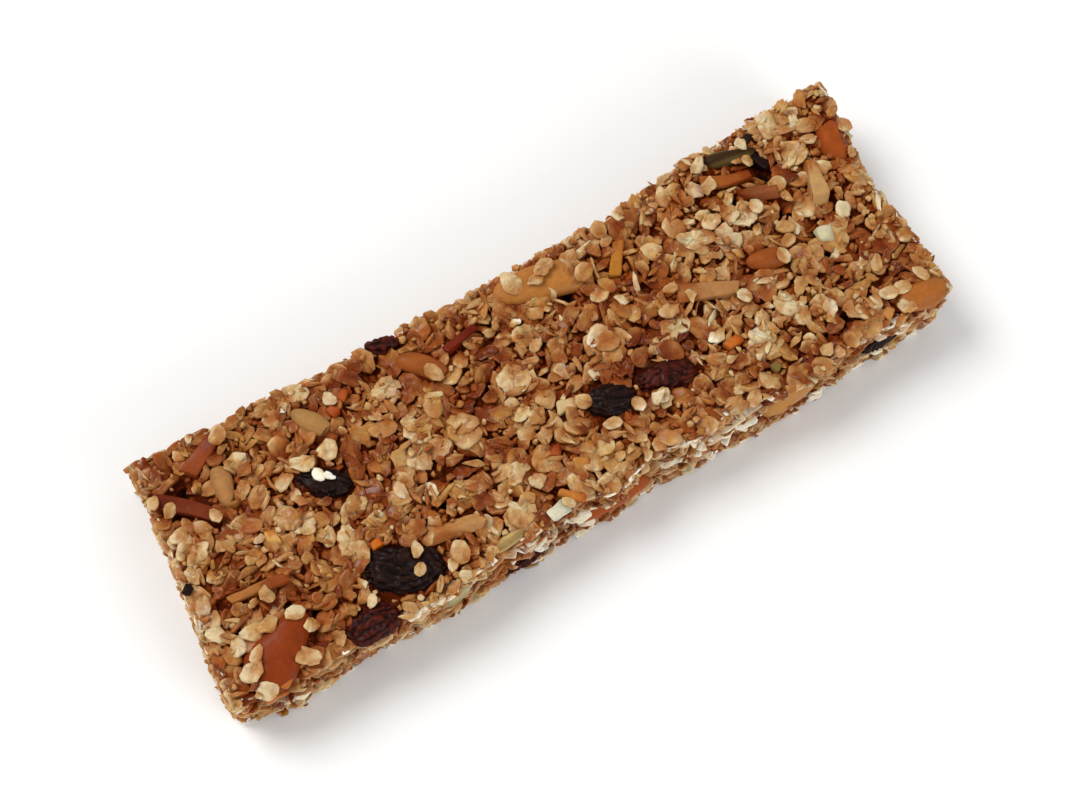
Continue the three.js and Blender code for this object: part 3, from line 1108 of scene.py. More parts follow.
@dataclass(frozen=True)
class LocalFrame:
    """A piece's centre, its long, middle and short directions, and its half sizes along them."""

    centre: Array
    axes: Array
    half: Array

    @classmethod
    def of(cls, points: Array) -> "LocalFrame":
        """Fits a frame to a set of points.

        Args:
            points: positions, one row each.

        Returns:
            The frame, long direction first.
        """
        centre = points.mean(axis=0)
        _, _, axes = np.linalg.svd(points - centre, full_matrices=False)
        axes[2] = np.cross(axes[0], axes[1])
        local = (points - centre) @ axes.T
        return cls(centre, axes, np.abs(local).max(axis=0))

    def local(self, points: Array) -> Array:
        """Points in the piece's own directions, in millimetres."""
        return (points - self.centre) @ self.axes.T

    def world(self, local: Array) -> Array:
        """Points back in the bar's frame."""
        return local @ self.axes + self.centre


def rounded_solid(node: str, levels: int) -> tuple[Shape, LocalFrame]:
    """A CAD solid smoothed, then stretched back to the size that it had.

    Args:
        node: the solid's name.
        levels: how many times it is smoothed.

    Returns:
        The smooth shape and the solid's own directions.
    """
    builder = solid_builder(node)
    own = LocalFrame.of(np.array([vertex.co for vertex in builder.verts]))
    shape = evaluated_shape(builder, [("SUBSURF", {"levels": levels})])
    local = own.local(shape.points)
    shape.points = own.world(local * own.half / np.abs(local).max(axis=0))
    return shape, own


def outward_normals(shape: Shape) -> Array:
    """Works out which way a shape faces at each point.

    Args:
        shape: the shape.

    Returns:
        One unit normal for each point.
    """
    corners = shape.points[shape.triangles]
    faces = np.cross(corners[:, 1] - corners[:, 0], corners[:, 2] - corners[:, 0])
    normals = np.zeros_like(shape.points)
    for corner in range(3):
        np.add.at(normals, shape.triangles[:, corner], faces)
    return normals / np.maximum(np.linalg.norm(normals, axis=1), 1e-12)[:, None]


# ---- Finishes ----


def linear(*shade: float) -> tuple[float, ...]:
    """Turns a display colour into linear light, with an alpha of 1.

    Args:
        shade: red, green and blue, from 0 to 255.

    Returns:
        The colour as a shader takes it.
    """
    shares = [value / 255 for value in shade]
    light = [share / 12.92 if share <= 0.04045 else ((share + 0.055) / 1.055) ** 2.4 for share in shares]
    return (*light, 1.0)


# The numbers of the mix node's sockets for colours: share, first, second, and the result.
MIX_INPUTS, MIX_OUTPUT = (0, 6, 7), 2


class Graph:
    """Adds and wires shader nodes in one tree."""

    def __init__(self, tree: bpy.types.NodeTree) -> None:
        """Starts on a tree."""
        self.tree = tree

    def add(self, kind: str, inputs: dict | None = None, **settings: object) -> bpy.types.Node:
        """Adds a node.

        Args:
            kind: the node's type.
            inputs: socket names or numbers, each with a value or a socket to wire from.
            settings: the node's own properties.

        Returns:
            The new node.
        """
        node = self.tree.nodes.new(kind)
        for name, value in settings.items():
            setattr(node, name, value)
        for name, value in (inputs or {}).items():
            self.feed(node.inputs[name], value)
        return node

    def feed(self, socket: Socket, value: object) -> None:
        """Wires a socket, or sets its value.

        Args:
            socket: the socket.
            value: another socket, or a plain value.
        """
        if isinstance(value, Socket):
            self.tree.links.new(value, socket)
        else:
            socket.default_value = value

    def math(self, operation: str, first: object, second: object) -> Socket:
        """The result of a sum on two values."""
        return self.add("ShaderNodeMath", {0: first, 1: second}, operation=operation).outputs[0]

    def swing(self, value: object, amount: object, middle: float = 0.5) -> Socket:
        """How far a value lies from its middle, times an amount."""
        return self.math("MULTIPLY", self.math("SUBTRACT", value, middle), amount)

    def mix(self, share: object, first: object, second: object) -> Socket:
        """Two colours mixed."""
        inputs = dict(zip(MIX_INPUTS, (share, first, second)))
        return self.add("ShaderNodeMix", inputs, data_type="RGBA").outputs[MIX_OUTPUT]

    def mark(self, name: str) -> Socket:
        """A value painted on the mesh's points."""
        return self.add("ShaderNodeAttribute", attribute_name=name).outputs["Fac"]

    def rise(self, value: object, low: float, high: float, start: float = 0.0,
             end: float = 1.0) -> Socket:
        """A smooth change from start to end as a value goes from low to high."""
        inputs = {"Value": value, "From Min": low, "From Max": high, "To Min": start, "To Max": end}
        return self.add("ShaderNodeMapRange", inputs, interpolation_type="SMOOTHSTEP").outputs[0]

    def place(self) -> Socket:
        """Where a point lies in its object's own frame, in metres."""
        return self.add("ShaderNodeTexCoord").outputs["Object"]

    def noise(self, place: object, scale: object, detail: float = 2.0) -> Socket:
        """Smooth noise from 0 to 1."""
        inputs = {"Vector": place, "Scale": scale, "Detail": detail}
        return self.add("ShaderNodeTexNoise", inputs).outputs["Fac"]

    def ramp(self, value: object, stops: tuple[tuple[float, Shade], ...]) -> Socket:
        """Colours along a value.

        Args:
            value: the socket that picks the colour.
            stops: places from 0 to 1, each with a display colour.

        Returns:
            The socket with the colour.
        """
        node = self.add("ShaderNodeValToRGB", {"Fac": value})
        elements = node.color_ramp.elements
        while len(elements) < len(stops):
            elements.new(0.5)
        for element, (position, shade) in zip(elements, stops):
            element.position = position
            element.color = linear(*shade)
        return node.outputs["Color"]


@dataclass(frozen=True)
class GrainGroup:
    """A shader group that mottles a colour and raises a fine grain, at a scale in millimetres."""

    name: str = "food_grain"
    fine_share: float = 0.6
    patch_share: float = 0.7
    patch_frequency: float = 0.28
    contrast: float = 2.4

    def tree(self) -> bpy.types.NodeTree:
        """Makes the group the first time that it is asked for.

        Returns:
            The group.
        """
        if self.name in bpy.data.node_groups:
            return bpy.data.node_groups[self.name]
        tree = bpy.data.node_groups.new(self.name, "ShaderNodeTree")
        for socket, kind, value in (
            ("Color", "Color", (0.5, 0.3, 0.1, 1)),
            ("Grain Size", "Float", 0.4),
            ("Mottle", "Float", 0.2),
            ("Crumple", "Float", 0.5),
        ):
            made = tree.interface.new_socket(socket, in_out="INPUT", socket_type=f"NodeSocket{kind}")
            made.default_value = value
        for socket, kind in (("Color", "Color"), ("Height", "Float"), ("Patch", "Float")):
            tree.interface.new_socket(socket, in_out="OUTPUT", socket_type=f"NodeSocket{kind}")
        graph = Graph(tree)
        given = graph.add("NodeGroupInput").outputs
        place = graph.place()
        frequency = graph.math("DIVIDE", PER_MM, given["Grain Size"])
        fine = graph.math("MULTIPLY", graph.noise(place, frequency, 3.0), self.fine_share)
        patch = graph.noise(place, graph.math("MULTIPLY", frequency, self.patch_frequency))
        blend = graph.math("ADD", fine, graph.math("MULTIPLY", patch, self.patch_share))
        swing = graph.swing(blend, given["Mottle"], (self.fine_share + self.patch_share) / 2)
        light = graph.math("ADD", 1.0, graph.math("MULTIPLY", swing, self.contrast))
        lit = graph.add("ShaderNodeVectorMath", {0: given["Color"], "Scale": light}, operation="SCALE")
        height = graph.math("ADD", fine, graph.math("MULTIPLY", patch, given["Crumple"]))
        graph.add("NodeGroupOutput", {"Color": lit.outputs[0], "Height": height, "Patch": patch})
        return tree


# How far red, green and blue light travels inside oats and nuts, in millimetres.
GLOW_REACH = (0.7, 0.46, 0.22)


@dataclass(frozen=True)
class Gloss:
    """How a finish shines, and how strongly its grain stands out.

    The coat thins down to the worn share of its weight in patches. Depths are in millimetres.
    """

    roughness: tuple[float, float] = (0.4, 0.65)
    coat: float = 0.2
    coat_roughness: float = 0.25
    specular: float = 0.22
    bump: float = 0.3
    bump_depth: float = 0.12
    translucency: float = 0.0
    worn: float = 0.15


class Finish:
    """A material: a colour worked out from the mesh's marks, with grain and gloss."""

    gloss = Gloss()
    grain_size = 0.4
    mottle = 0.25
    crumple = 0.5

    def __init__(self, name: str) -> None:
        """Names the finish."""
        self.name = name

    def colour(self, graph: Graph) -> Socket:
        """Works out the base colour before the grain.

        Args:
            graph: the material's nodes.

        Returns:
            The socket with the colour.
        """
        raise NotImplementedError

    def exposed(self, graph: Graph) -> Socket | float:
        """The share of the coat that is left."""
        return 1.0

    def build(self) -> bpy.types.Material:
        """Wires the colour, the grain and the gloss.

        Returns:
            The finished material.
        """
        material = bpy.data.materials.new(self.name)
        material.use_nodes = True
        tree = material.node_tree
        tree.nodes.clear()
        graph = Graph(tree)
        gloss = self.gloss
        grain = graph.add("ShaderNodeGroup", node_tree=GrainGroup().tree())
        for name, value in (
            ("Color", self.colour(graph)), ("Grain Size", self.grain_size), ("Mottle", self.mottle),
            ("Crumple", self.crumple),
        ):
            graph.feed(grain.inputs[name], value)
        rough = graph.rise(grain.outputs["Patch"], 0.3, 0.7, *gloss.roughness)
        glaze = graph.rise(grain.outputs["Patch"], 0.35, 0.62, gloss.coat, gloss.coat * gloss.worn)
        glaze = graph.math("MULTIPLY", glaze, self.exposed(graph))
        bump = graph.add("ShaderNodeBump", {
            "Height": grain.outputs["Height"], "Strength": gloss.bump, "Distance": gloss.bump_depth * MM,
        })
        shader = graph.add("ShaderNodeBsdfPrincipled", {
            "Base Color": grain.outputs["Color"], "Roughness": rough, "Coat Weight": glaze,
            "Normal": bump.outputs["Normal"], "Coat Roughness": gloss.coat_roughness,
            "Specular IOR Level": gloss.specular, "Subsurface Weight": gloss.translucency,
            "Subsurface Radius": GLOW_REACH, "Subsurface Scale": MM,
        })
        graph.add("ShaderNodeOutputMaterial", {"Surface": shader.outputs["BSDF"]})
        return material


# Dark syrup, which also stands for painted shade where the oats lie sunken or deep.
DEEP_SYRUP_AND_SHADE = linear(98, 25, 4)
# Syrup at each piece's foot, which also stands for painted shade under the piece.
FOOT_SYRUP_AND_SHADE = linear(124, 56, 18)
# Amber syrup, which also stands for painted shade where the oats lie a little sunken.
POOLED_SYRUP_AND_SHADE = linear(150, 64, 17)
HONEY = linear(166, 88, 32)
# A dry, pale edge, which is also a painted highlight along each piece's upper rim.
DRY_EDGE_AND_HIGHLIGHT = linear(216, 188, 146)
CUT_OAT = linear(255, 244, 222)
YELLOWED = linear(196, 150, 76)


class OatFinish(Finish):
    """Toasted oats in honey syrup, pale where cut, with painted light on top, syrup and painted shade deep
    down.
    """

    gloss = Gloss((0.36, 0.6), 0.34, 0.16, 0.05, bump=0.45, bump_depth=0.12, translucency=0.5)
    grain_size = 0.35
    mottle = 0.3
    crumple = 2.2
    stops = (
        (0.0, (104, 40, 12)),
        (0.2, (126, 61, 23)),
        (0.4, (148, 88, 42)),
        (0.58, (170, 119, 66)),
        (0.76, (186, 144, 94)),
        (0.9, (199, 166, 118)),
        (1.0, (211, 190, 150)),
    )

    def colour(self, graph: Graph) -> Socket:
        """Lays honey, pale cut faces, painted highlights, and syrup with painted shade over the oats' own
        tone.

        Args:
            graph: the material's nodes.

        Returns:
            The socket with the colour.
        """
        place = graph.place()
        patch = graph.noise(place, 700.0)
        wander = graph.swing(patch, 0.75)
        region = graph.swing(graph.noise(place, 130.0, 1.0), 0.7)
        # Pieces that stand out turn paler: partly drier, partly painted light.
        dried_and_lit = graph.rise(graph.mark("sunk"), -0.7, 0.1, 0.14, 0.0)
        change = graph.math("ADD", dried_and_lit, graph.math("ADD", wander, region))
        base = graph.ramp(graph.math("ADD", graph.mark("tone"), change), self.stops)
        yellowed = graph.mix(graph.rise(graph.noise(place, 240.0, 1.0), 0.52, 0.72, 0.0, 0.4), base, YELLOWED)
        soaked = graph.rise(graph.noise(place, 190.0, 1.0), 0.5, 0.75, 0.0, 0.5)
        stained = graph.rise(graph.noise(place, 460.0, 1.0), 0.54, 0.7, 0.0, 0.45)
        honeyed = graph.mix(graph.math("MAXIMUM", soaked, stained), yellowed, HONEY)
        # Each piece's foot darkens: partly syrup, partly painted shade under it.
        footed_and_shaded = graph.mix(graph.rise(graph.mark("rim"), -1.0, -0.1, 0.5, 0.0), honeyed, FOOT_SYRUP_AND_SHADE)
        # Upper rims turn pale: partly dry edges, partly a painted highlight.
        edge = graph.rise(graph.mark("rim"), 0.5, 1.0, 0.0, 0.3)
        rimmed_and_highlighted = graph.mix(graph.math("MULTIPLY", edge, graph.rise(patch, 0.4, 0.6)), footed_and_shaded, DRY_EDGE_AND_HIGHLIGHT)
        floury = graph.rise(graph.noise(place, 170.0, 1.0), 0.36, 0.6, 0.4, 1.0)
        share = graph.math("MULTIPLY", graph.rise(graph.mark("cut"), 0.0, 0.25), floury)
        share = graph.math("MAXIMUM", share, graph.rise(graph.mark("tone"), 1.02, 1.35, 0.0, 0.9))
        cut = graph.mix(share, rimmed_and_highlighted, CUT_OAT)
        # Sunken and deep parts darken: partly pooled syrup, partly painted shade in the hollows.
        wet_and_shaded = graph.mix(graph.rise(graph.mark("sunk"), -0.1, 0.7, 0.0, 0.6), cut, POOLED_SYRUP_AND_SHADE)
        dark_and_shaded = graph.math("MAXIMUM", graph.rise(graph.mark("sunk"), 0.4, 1.5, 0.0, 0.8),
                          graph.rise(graph.mark("depth"), 0.9, 2.3, 0.0, 0.8))
        return graph.mix(dark_and_shaded, wet_and_shaded, DEEP_SYRUP_AND_SHADE)

    def exposed(self, graph: Graph) -> Socket:
        """Only what stands out between its neighbours has a coat."""
        return graph.rise(graph.mark("sunk"), 0.0, 0.7, 1.0, 0.0)


class CrumbFinish(Finish):
    """The dark syrup and crumbs between the oats."""

    gloss = Gloss((0.5, 0.7), 0.0, 0.2, 0.02, bump=0.5, bump_depth=0.2)
    grain_size = 0.6
    mottle = 0.5

    def colour(self, graph: Graph) -> Socket:
        """Lays lighter crumbs on dark amber, and painted shade, nearly black, in the pits.

        Args:
            graph: the material's nodes.

        Returns:
            The socket with the colour.
        """
        place = graph.place()
        crumbs = graph.rise(graph.noise(place, 1300.0, 1.0), 0.48, 0.7)
        syrup = graph.mix(crumbs, linear(74, 22, 4), linear(122, 56, 17))
        # In the pits the core is painted nearly black, as shade.
        return graph.mix(graph.rise(graph.mark("pit"), 0.15, 0.6), syrup, linear(30, 12, 5))


class FruitFinish(Finish):
    """Dried fruit skin, with painted shade in the folds and a painted sheen along the ridges."""

    gloss = Gloss((0.34, 0.55), 0.08, 0.25, 0.08, bump=0.4, bump_depth=0.1)
    grain_size = 0.3
    mottle = 0.4

    def __init__(self, name: str, fold: Shade, ridge: Shade) -> None:
        """Names the finish and its two colours."""
        super().__init__(name)
        self.fold, self.ridge = fold, ridge

    def colour(self, graph: Graph) -> Socket:
        """From painted shade in the folds to a painted sheen on the ridges."""
        return graph.mix(graph.rise(graph.mark("ridge"), 0.15, 1.0), linear(*self.fold), linear(*self.ridge))


class NutFinish(Finish):
    """Nut flesh: pale where cut, toasted towards the ends and edges, with skin where it is left."""

    gloss = Gloss((0.36, 0.55), 0.1, 0.28, 0.06, bump=0.4, bump_depth=0.1, translucency=0.06)
    grain_size = 0.5
    mottle = 0.3
    light = 0.9
    toasting = (0.86, 0.66, 0.44)
    skinning = (0.86, 0.74, 0.6)
    edging = (0.82, 0.62, 0.42)
    rounding = (0.94, 0.88, 0.8)

    def __init__(self, name: str, shade: Shade, skinned: bool = False, chopped: bool = False) -> None:
        """Names the finish and sets its colours.

        Args:
            name: the finish's name.
            shade: its main colour.
            skinned: whether the nut has its skin.
            chopped: whether it is a stick.
        """
        super().__init__(name)
        self.outer = self.skinning if skinned else self.edging if chopped else self.rounding
        self.shade = tuple(part * self.light for part in shade)

    def colour(self, graph: Graph) -> Socket:
        """Lays toasting over the flesh, and skin off the cut faces.

        Args:
            graph: the material's nodes.

        Returns:
            The socket with the colour.
        """
        place = graph.place()
        flesh = linear(*self.shade)
        toasted = linear(*(part * share for part, share in zip(self.shade, self.toasting)))
        skin = linear(*(part * share for part, share in zip(self.shade, self.outer)))
        patch = graph.swing(graph.noise(place, 380.0), 1.3)
        patch = graph.math("ADD", patch, graph.math("MULTIPLY", graph.mark("streak"), 0.3))
        toast = graph.rise(graph.math("ADD", graph.mark("ends"), patch), 0.15, 1.0)
        cut = graph.rise(graph.math("ADD", graph.mark("cut"), graph.math("MULTIPLY", patch, 0.4)), 0.3, 0.7)
        return graph.mix(cut, skin, graph.mix(toast, flesh, toasted))


class SeedFinish(Finish):
    """A hulled pumpkin seed: grey green, darker along its edge, with a mottled skin."""

    gloss = Gloss((0.45, 0.65), 0.04, 0.3, 0.05, bump=0.5, bump_depth=0.12)
    grain_size = 0.45
    mottle = 0.35

    def __init__(self, name: str, face: Shade, edge: Shade) -> None:
        """Names the finish and its two colours."""
        super().__init__(name)
        self.face, self.edge = face, edge

    def colour(self, graph: Graph) -> Socket:
        """From the face to the edge."""
        return graph.mix(graph.rise(graph.mark("ends"), 0.3, 1.0), linear(*self.face), linear(*self.edge))


# ---- Raisins, nuts and seeds ----


@dataclass
class Inclusion:
    """A piece set in the oats, in the place of its CAD solid. Its name says how it was made."""

    node: str
    finish: Finish
    slot: str
    made: str

    def shape(self) -> Shape:
        """The piece's shape in its place."""
        raise NotImplementedError

    def build(self) -> Shape:
        """Makes the piece and hides its solid.

        Returns:
            Its shape, for the oats to settle round.
        """
        shape = self.shape()
        piece = shape.to_object(f"{self.node}_{self.made}", self.slot, self.finish.build())
        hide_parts(self.node)
        return shape


@dataclass
class Raisin(Inclusion):
    """A raisin, wrinkled lengthwise."""

    slot: str = "raisin"
    made: str = "wrinkled"
    fold_depth: float = 0.5
    fold_width: float = 1.3
    fold_share: float = 0.42
    middle: float = 0.75
    waver: float = 4.0
    stretch: float = 0.6
    dents: float = 0.3
    levels: int = 3

    def shape(self) -> Shape:
        """Wrinkles the rounded solid.

        Returns:
            The raisin in its place.
        """
        shape, own = rounded_solid(self.node, self.levels)
        local = own.local(shape.points)
        seed = sum(map(ord, self.node))
        sway = np.column_stack([SoftNoise(seed + 7 + axis).at(local, 1.8) for axis in range(3)]) * 0.7
        around = np.arctan2(local[:, 2] / own.half[2], local[:, 1] / own.half[1])
        count = round(math.pi * (own.half[1] + own.half[2]) / self.fold_width)
        wander = self.waver * SoftNoise(seed + 1).at(local * (self.stretch, 1, 1), 2.4)
        folds = np.abs(np.sin(around * count / 2 + wander))
        small = np.abs(SoftNoise(seed + 2).at(local + sway, self.fold_width * 0.6))
        ridge = folds * self.fold_share + np.clip(small * 1.8, 0, 1) * (1 - self.fold_share)
        lumps = self.dents * SoftNoise(seed + 3).at(local, 3.0)
        shape.points += outward_normals(shape) * ((ridge - self.middle) * self.fold_depth + lumps)[:, None]
        # The ridge mark also sets the skin's painted shade in the folds and painted sheen on the ridges.
        shape.marks["ridge"] = ridge
        return shape


# Streaks in nut flesh run along its length.
STREAK_STRETCH = np.array([0.2, 1.0, 1.0])


def bevelled(width: float, sharpest: float) -> tuple[str, dict]:
    """The modifier that softens the edges over an angle in degrees, by a width in millimetres."""
    angle = math.radians(sharpest)
    return "BEVEL", {"width": width, "segments": 2, "limit_method": "ANGLE", "angle_limit": angle}


@dataclass(frozen=True)
class Chop:
    """How a stick or a bit comes off the knife: a wedge with softened edges and a rough face."""

    bevel: float = 0.2
    slant: float = 1.0
    wedge: float = 0.58
    roughness: float = 0.055
    steps: int = 6

    def shape(self, half: Array, random: Random, bends: Array, taper: float = 0.0) -> Shape:
        """Makes one piece about its own centre, long side first.

        Args:
            half: its half sizes in millimetres.
            random: the source of chance.
            bends: how far its ends curve to each side, as shares of its half sizes.
            taper: how much it narrows towards its far end.

        Returns:
            The piece, with its cut faces and its ends marked.
        """
        builder = bmesh.new()
        bmesh.ops.create_cube(builder, size=2.0)
        moves = np.array([self.slant * half[1] / half[0], self.wedge, self.wedge])
        for corner in builder.verts:
            corner.co = Vector(np.array(corner.co) * (1 - random.uniform(0, 1, 3) * moves))
        lengthwise = [edge for edge in builder.edges if abs(edge.verts[0].co.x - edge.verts[1].co.x) > 1]
        bmesh.ops.subdivide_edges(builder, edges=lengthwise, cuts=self.steps - 1, use_grid_fill=True)
        for corner in builder.verts:
            x, y, z = corner.co
            narrow, curve = 1 - taper * x, x * x - 0.4
            corner.co = Vector(np.array([x, y * narrow + bends[0] * curve, z + bends[1] * curve]) * half)
        finer = ("SUBSURF", {"levels": 2, "subdivision_type": "SIMPLE"})
        shape = evaluated_shape(builder, [bevelled(self.bevel, 35), finer])
        noise = SoftNoise(int(random.integers(1000)))
        rough = noise.at(shape.points, 0.8) + 1.6 * noise.at(shape.points + 50, 2.2)
        shape.points += outward_normals(shape) * (self.roughness * rough)[:, None]
        shape.marks["streak"] = noise.at(shape.points * STREAK_STRETCH + 9, 0.45)
        shape.marks["cut"] = 1 - smoothstep(shape.points[:, 1] / half[1], 0.75, 0.95)
        shape.marks["ends"] = smoothstep(shape.points[:, 0] / half[0], -0.5, 1.1)
        return shape


@dataclass
class Nut(Inclusion):
    """An almond piece: a chopped stick, or a half with a few cuts.

    Each cut of a half has a facing, and takes a random bite between two shares of the way out.
    """

    made: str = "chopped"
    stick: bool = False
    facings: tuple[tuple[float, float, float], ...] = ((0.0, 0.0, 1.0), (1.0, 0.2, 0.0))
    bevel: float = 0.16
    bite: tuple[float, float] = (0.8, 0.95)

    def shape(self) -> Shape:
        """The stick or the half."""
        random = np.random.default_rng(sum(map(ord, self.node)) * 7)
        return self._stick(random) if self.stick else self._half(random)

    def _stick(self, random: Random) -> Shape:
        """A stick with the size, taper and curve of its solid.

        Args:
            random: the source of chance.

        Returns:
            The stick in its place.
        """
        builder = solid_builder(self.node)
        points = np.array([vertex.co for vertex in builder.verts])
        builder.free()
        own = LocalFrame.of(points)
        local = own.local(points) / own.half
        bends = np.array([np.polyfit(local[:, 0], local[:, axis], 2)[0] for axis in (1, 2)])
        widths = np.abs(local[:, 1])
        taper = -float(np.polyfit(local[:, 0], widths, 1)[0] / widths.mean())
        shape = Chop().shape(own.half, random, bends, taper)
        shape.points = own.world(shape.points)
        return shape

    def _half(self, random: Random) -> Shape:
        """A rounded half with its cut faces.

        Args:
            random: the source of chance.

        Returns:
            The half in its place.
        """
        smooth, own = rounded_solid(self.node, 2)
        builder = self._builder(smooth)
        planes = [self._slice(builder, own, random, facing) for facing in self.facings]
        shape = evaluated_shape(builder, [bevelled(self.bevel, 22)])
        local = own.local(shape.points)
        noise = SoftNoise(len(self.node) + len(self.facings))
        rough = 0.06 * noise.at(local, 0.9) + 0.2 * noise.at(local + 20, 2.6)
        shape.points += outward_normals(shape) * rough[:, None]
        near = [np.exp(-np.abs((shape.points - point) @ normal) / 0.12) for point, normal in planes]
        shape.marks["cut"] = np.max(near, axis=0)
        shape.marks["streak"] = noise.at(local * STREAK_STRETCH + 9, 0.45)
        shape.marks["ends"] = np.clip(np.abs(local[:, 0]) / own.half[0], 0, 1) ** 2
        return shape

    @staticmethod
    def _builder(shape: Shape) -> bmesh.types.BMesh:
        """Makes an editable mesh of a shape.

        Args:
            shape: the shape.

        Returns:
            The mesh.
        """
        builder = bmesh.new()
        corners = [builder.verts.new(point) for point in shape.points]
        for triangle in shape.triangles:
            builder.faces.new([corners[i] for i in triangle])
        return builder

    def _slice(self, builder: bmesh.types.BMesh, own: LocalFrame, random: Random,
               facing: tuple[float, float, float]) -> tuple[Array, Array]:
        """Cuts one flat face.

        Args:
            builder: the nut so far.
            own: its own directions.
            random: the source of chance.
            facing: roughly which way the cut faces, in those directions.

        Returns:
            A point on the cut and its outward normal.
        """
        outward = np.array(facing) + random.normal(0, 0.16, 3)
        normal = own.axes.T @ (outward / np.linalg.norm(outward))
        points = np.array([vertex.co for vertex in builder.verts])
        far = ((points - own.centre) @ normal).max()
        point = own.centre + normal * far * random.uniform(*self.bite)
        cut = bmesh.ops.bisect_plane(
            builder, geom=builder.verts[:] + builder.edges[:] + builder.faces[:],
            plane_co=Vector(point), plane_no=Vector(normal), clear_outer=True,
        )
        edges = [part for part in cut["geom_cut"] if isinstance(part, bmesh.types.BMEdge)]
        bmesh.ops.edgeloop_fill(builder, edges=edges)
        bmesh.ops.recalc_face_normals(builder, faces=builder.faces)
        return point, normal


@dataclass(frozen=True)
class Bit:
    """A bit of nut, seed or raisin on a face, with no CAD solid of its own.

    Lengths in millimetres: where it lies on the face, its size, and how far it stands out.
    """

    slot: str
    place: Spot
    size: tuple[float, float, float]
    turn: float
    shade: Shade
    side: Side = Side.TOP
    rise: float = 0.35

    def build(self, envelope: Envelope, number: int) -> Shape:
        """Makes the bit.

        Args:
            envelope: the bar's faces.
            number: tells it from the others.

        Returns:
            Its shape, for the oats to settle round.
        """
        half = np.array(self.size) / 2
        random = np.random.default_rng(900 + number)
        chop = Chop(bevel=0.35 * float(half[1:].min()), steps=3)
        shape = chop.shape(half, random, random.normal(0, 0.12, 2), float(random.uniform(-0.25, 0.25)))
        axes = self.side.axes
        turn = math.radians(self.turn)
        along = axes[0] * math.cos(turn) + axes[1] * math.sin(turn)
        across = axes[1] * math.cos(turn) - axes[0] * math.sin(turn)
        face = np.array([*self.place, FACE_PLACES[self.side]]) @ axes
        reach = float(envelope.reach(self.side, face[None])[0])
        centre = np.array([*self.place, reach + self.rise - half[2]]) @ axes
        shape.points = shape.points @ np.array([along, across, axes[2]]) + centre
        shape.to_object(f"{self.slot}_bit_{number}", self.slot, self._finish(number).build())
        return shape

    def _finish(self, number: int) -> Finish:
        """Picks the finish that belongs to its slot.

        Args:
            number: the bit's number.

        Returns:
            The finish.
        """
        name = f"{self.slot}_bit_{number}"
        if self.slot == "pumpkin_seed":
            return SeedFinish(name, self.shade, tuple(int(part * 0.8) for part in self.shade))
        return NutFinish(name, self.shade)


@dataclass
class Seed(Inclusion):
    """A hulled pumpkin seed."""

    slot: str = "pumpkin_seed"
    made: str = "hulled"
    levels: int = 3

    def shape(self) -> Shape:
        """Dents the rounded solid.

        Returns:
            The seed in its place.
        """
        shape, own = rounded_solid(self.node, self.levels)
        local = own.local(shape.points)
        around = np.hypot(local[:, 0] / own.half[0], local[:, 1] / own.half[1])
        dents = SoftNoise(len(self.node)).at(local * (0.4, 1, 1), 1.0)
        shape.points += outward_normals(shape) * (0.1 * dents)[:, None]
        shape.marks["ends"] = np.clip(around, 0, 1) ** 3
        return shape


# ---- The oats ----


@dataclass
class OatCore:
    """The syrup and crumbs under the oats, as one closed rough slab.

    A cube's points are moved to the faces, inset by a depth for each. On top they follow the oats
    that have settled there, a film's thickness under their mean, and go down into the pits.
    """

    envelope: Envelope
    top: Bed
    steps: tuple[int, int, int] = (160, 54, 15)
    fittings: int = 2
    inset: dict[Side, float] = field(default_factory=lambda: {
        Side.TOP: 2.1, Side.BOTTOM: 0.9, Side.FRONT: 1.5, Side.BACK: 1.5, Side.LEFT: 1.5, Side.RIGHT: 1.5,
    })
    drawn_in: float = 0.97
    film: float = 0.95
    pit_depth: float = 1.8
    roughness: float = 0.3
    clear_of_floor: float = 0.25

    def build(self) -> None:
        """Makes the core."""
        builder = bmesh.new()
        bmesh.ops.create_cube(builder, size=2.0)
        for axis, count in enumerate(self.steps):
            edges = [edge for edge in builder.edges if abs((edge.verts[0].co - edge.verts[1].co)[axis]) > 1]
            bmesh.ops.subdivide_edges(builder, edges=edges, cuts=count - 1, use_grid_fill=True)
        shape = evaluated_shape(builder, [])
        share = (shape.points + 1) / 2
        points = CAD_LOW + (CAD_HIGH - CAD_LOW) * share
        opposite = ((Side.LEFT, Side.RIGHT), (Side.FRONT, Side.BACK), (Side.BOTTOM, Side.TOP))
        for _ in range(self.fittings):
            points = np.column_stack([
                -self._face(low, points) * (1 - along) + self._face(high, points) * along
                for (low, high), along in zip(opposite, share.T)
            ])
        shape.points = points
        lumps = SoftNoise(5).at(points, 1.3) + 0.5 * SoftNoise(6).at(points, 0.7)
        shape.points = points + outward_normals(shape) * (self.roughness * lumps)[:, None]
        shape.points[:, 2] = np.maximum(shape.points[:, 2], self.clear_of_floor)
        shape.marks["pit"] = self._pits(points)
        shape.to_object("oat_core", "oats", CrumbFinish("syrup_and_crumbs").build())

    def _face(self, side: Side, points: Array) -> Array:
        """Works out how far the core reaches towards one face.

        Args:
            side: the face.
            points: positions, one row each.

        Returns:
            The core's outward position beside each point.
        """
        reach = self.envelope.reach(side, points) - self.inset[side]
        if side is Side.TOP:
            within = (points - points.mean(axis=0)) * self.drawn_in + points.mean(axis=0)
            reach = np.maximum(reach, self.top.mean_at(within) - self.film)
            reach -= self.pit_depth * self._pits(points)
        return reach

    @staticmethod
    def _pits(points: Array) -> Array:
        """How far each point lies in a pit, from 0 to 1."""
        pits = [np.exp(-(np.hypot(*(points[:, :2] - place).T) / radius) ** 2) for place, radius in PITS]
        return np.max(pits, axis=0)


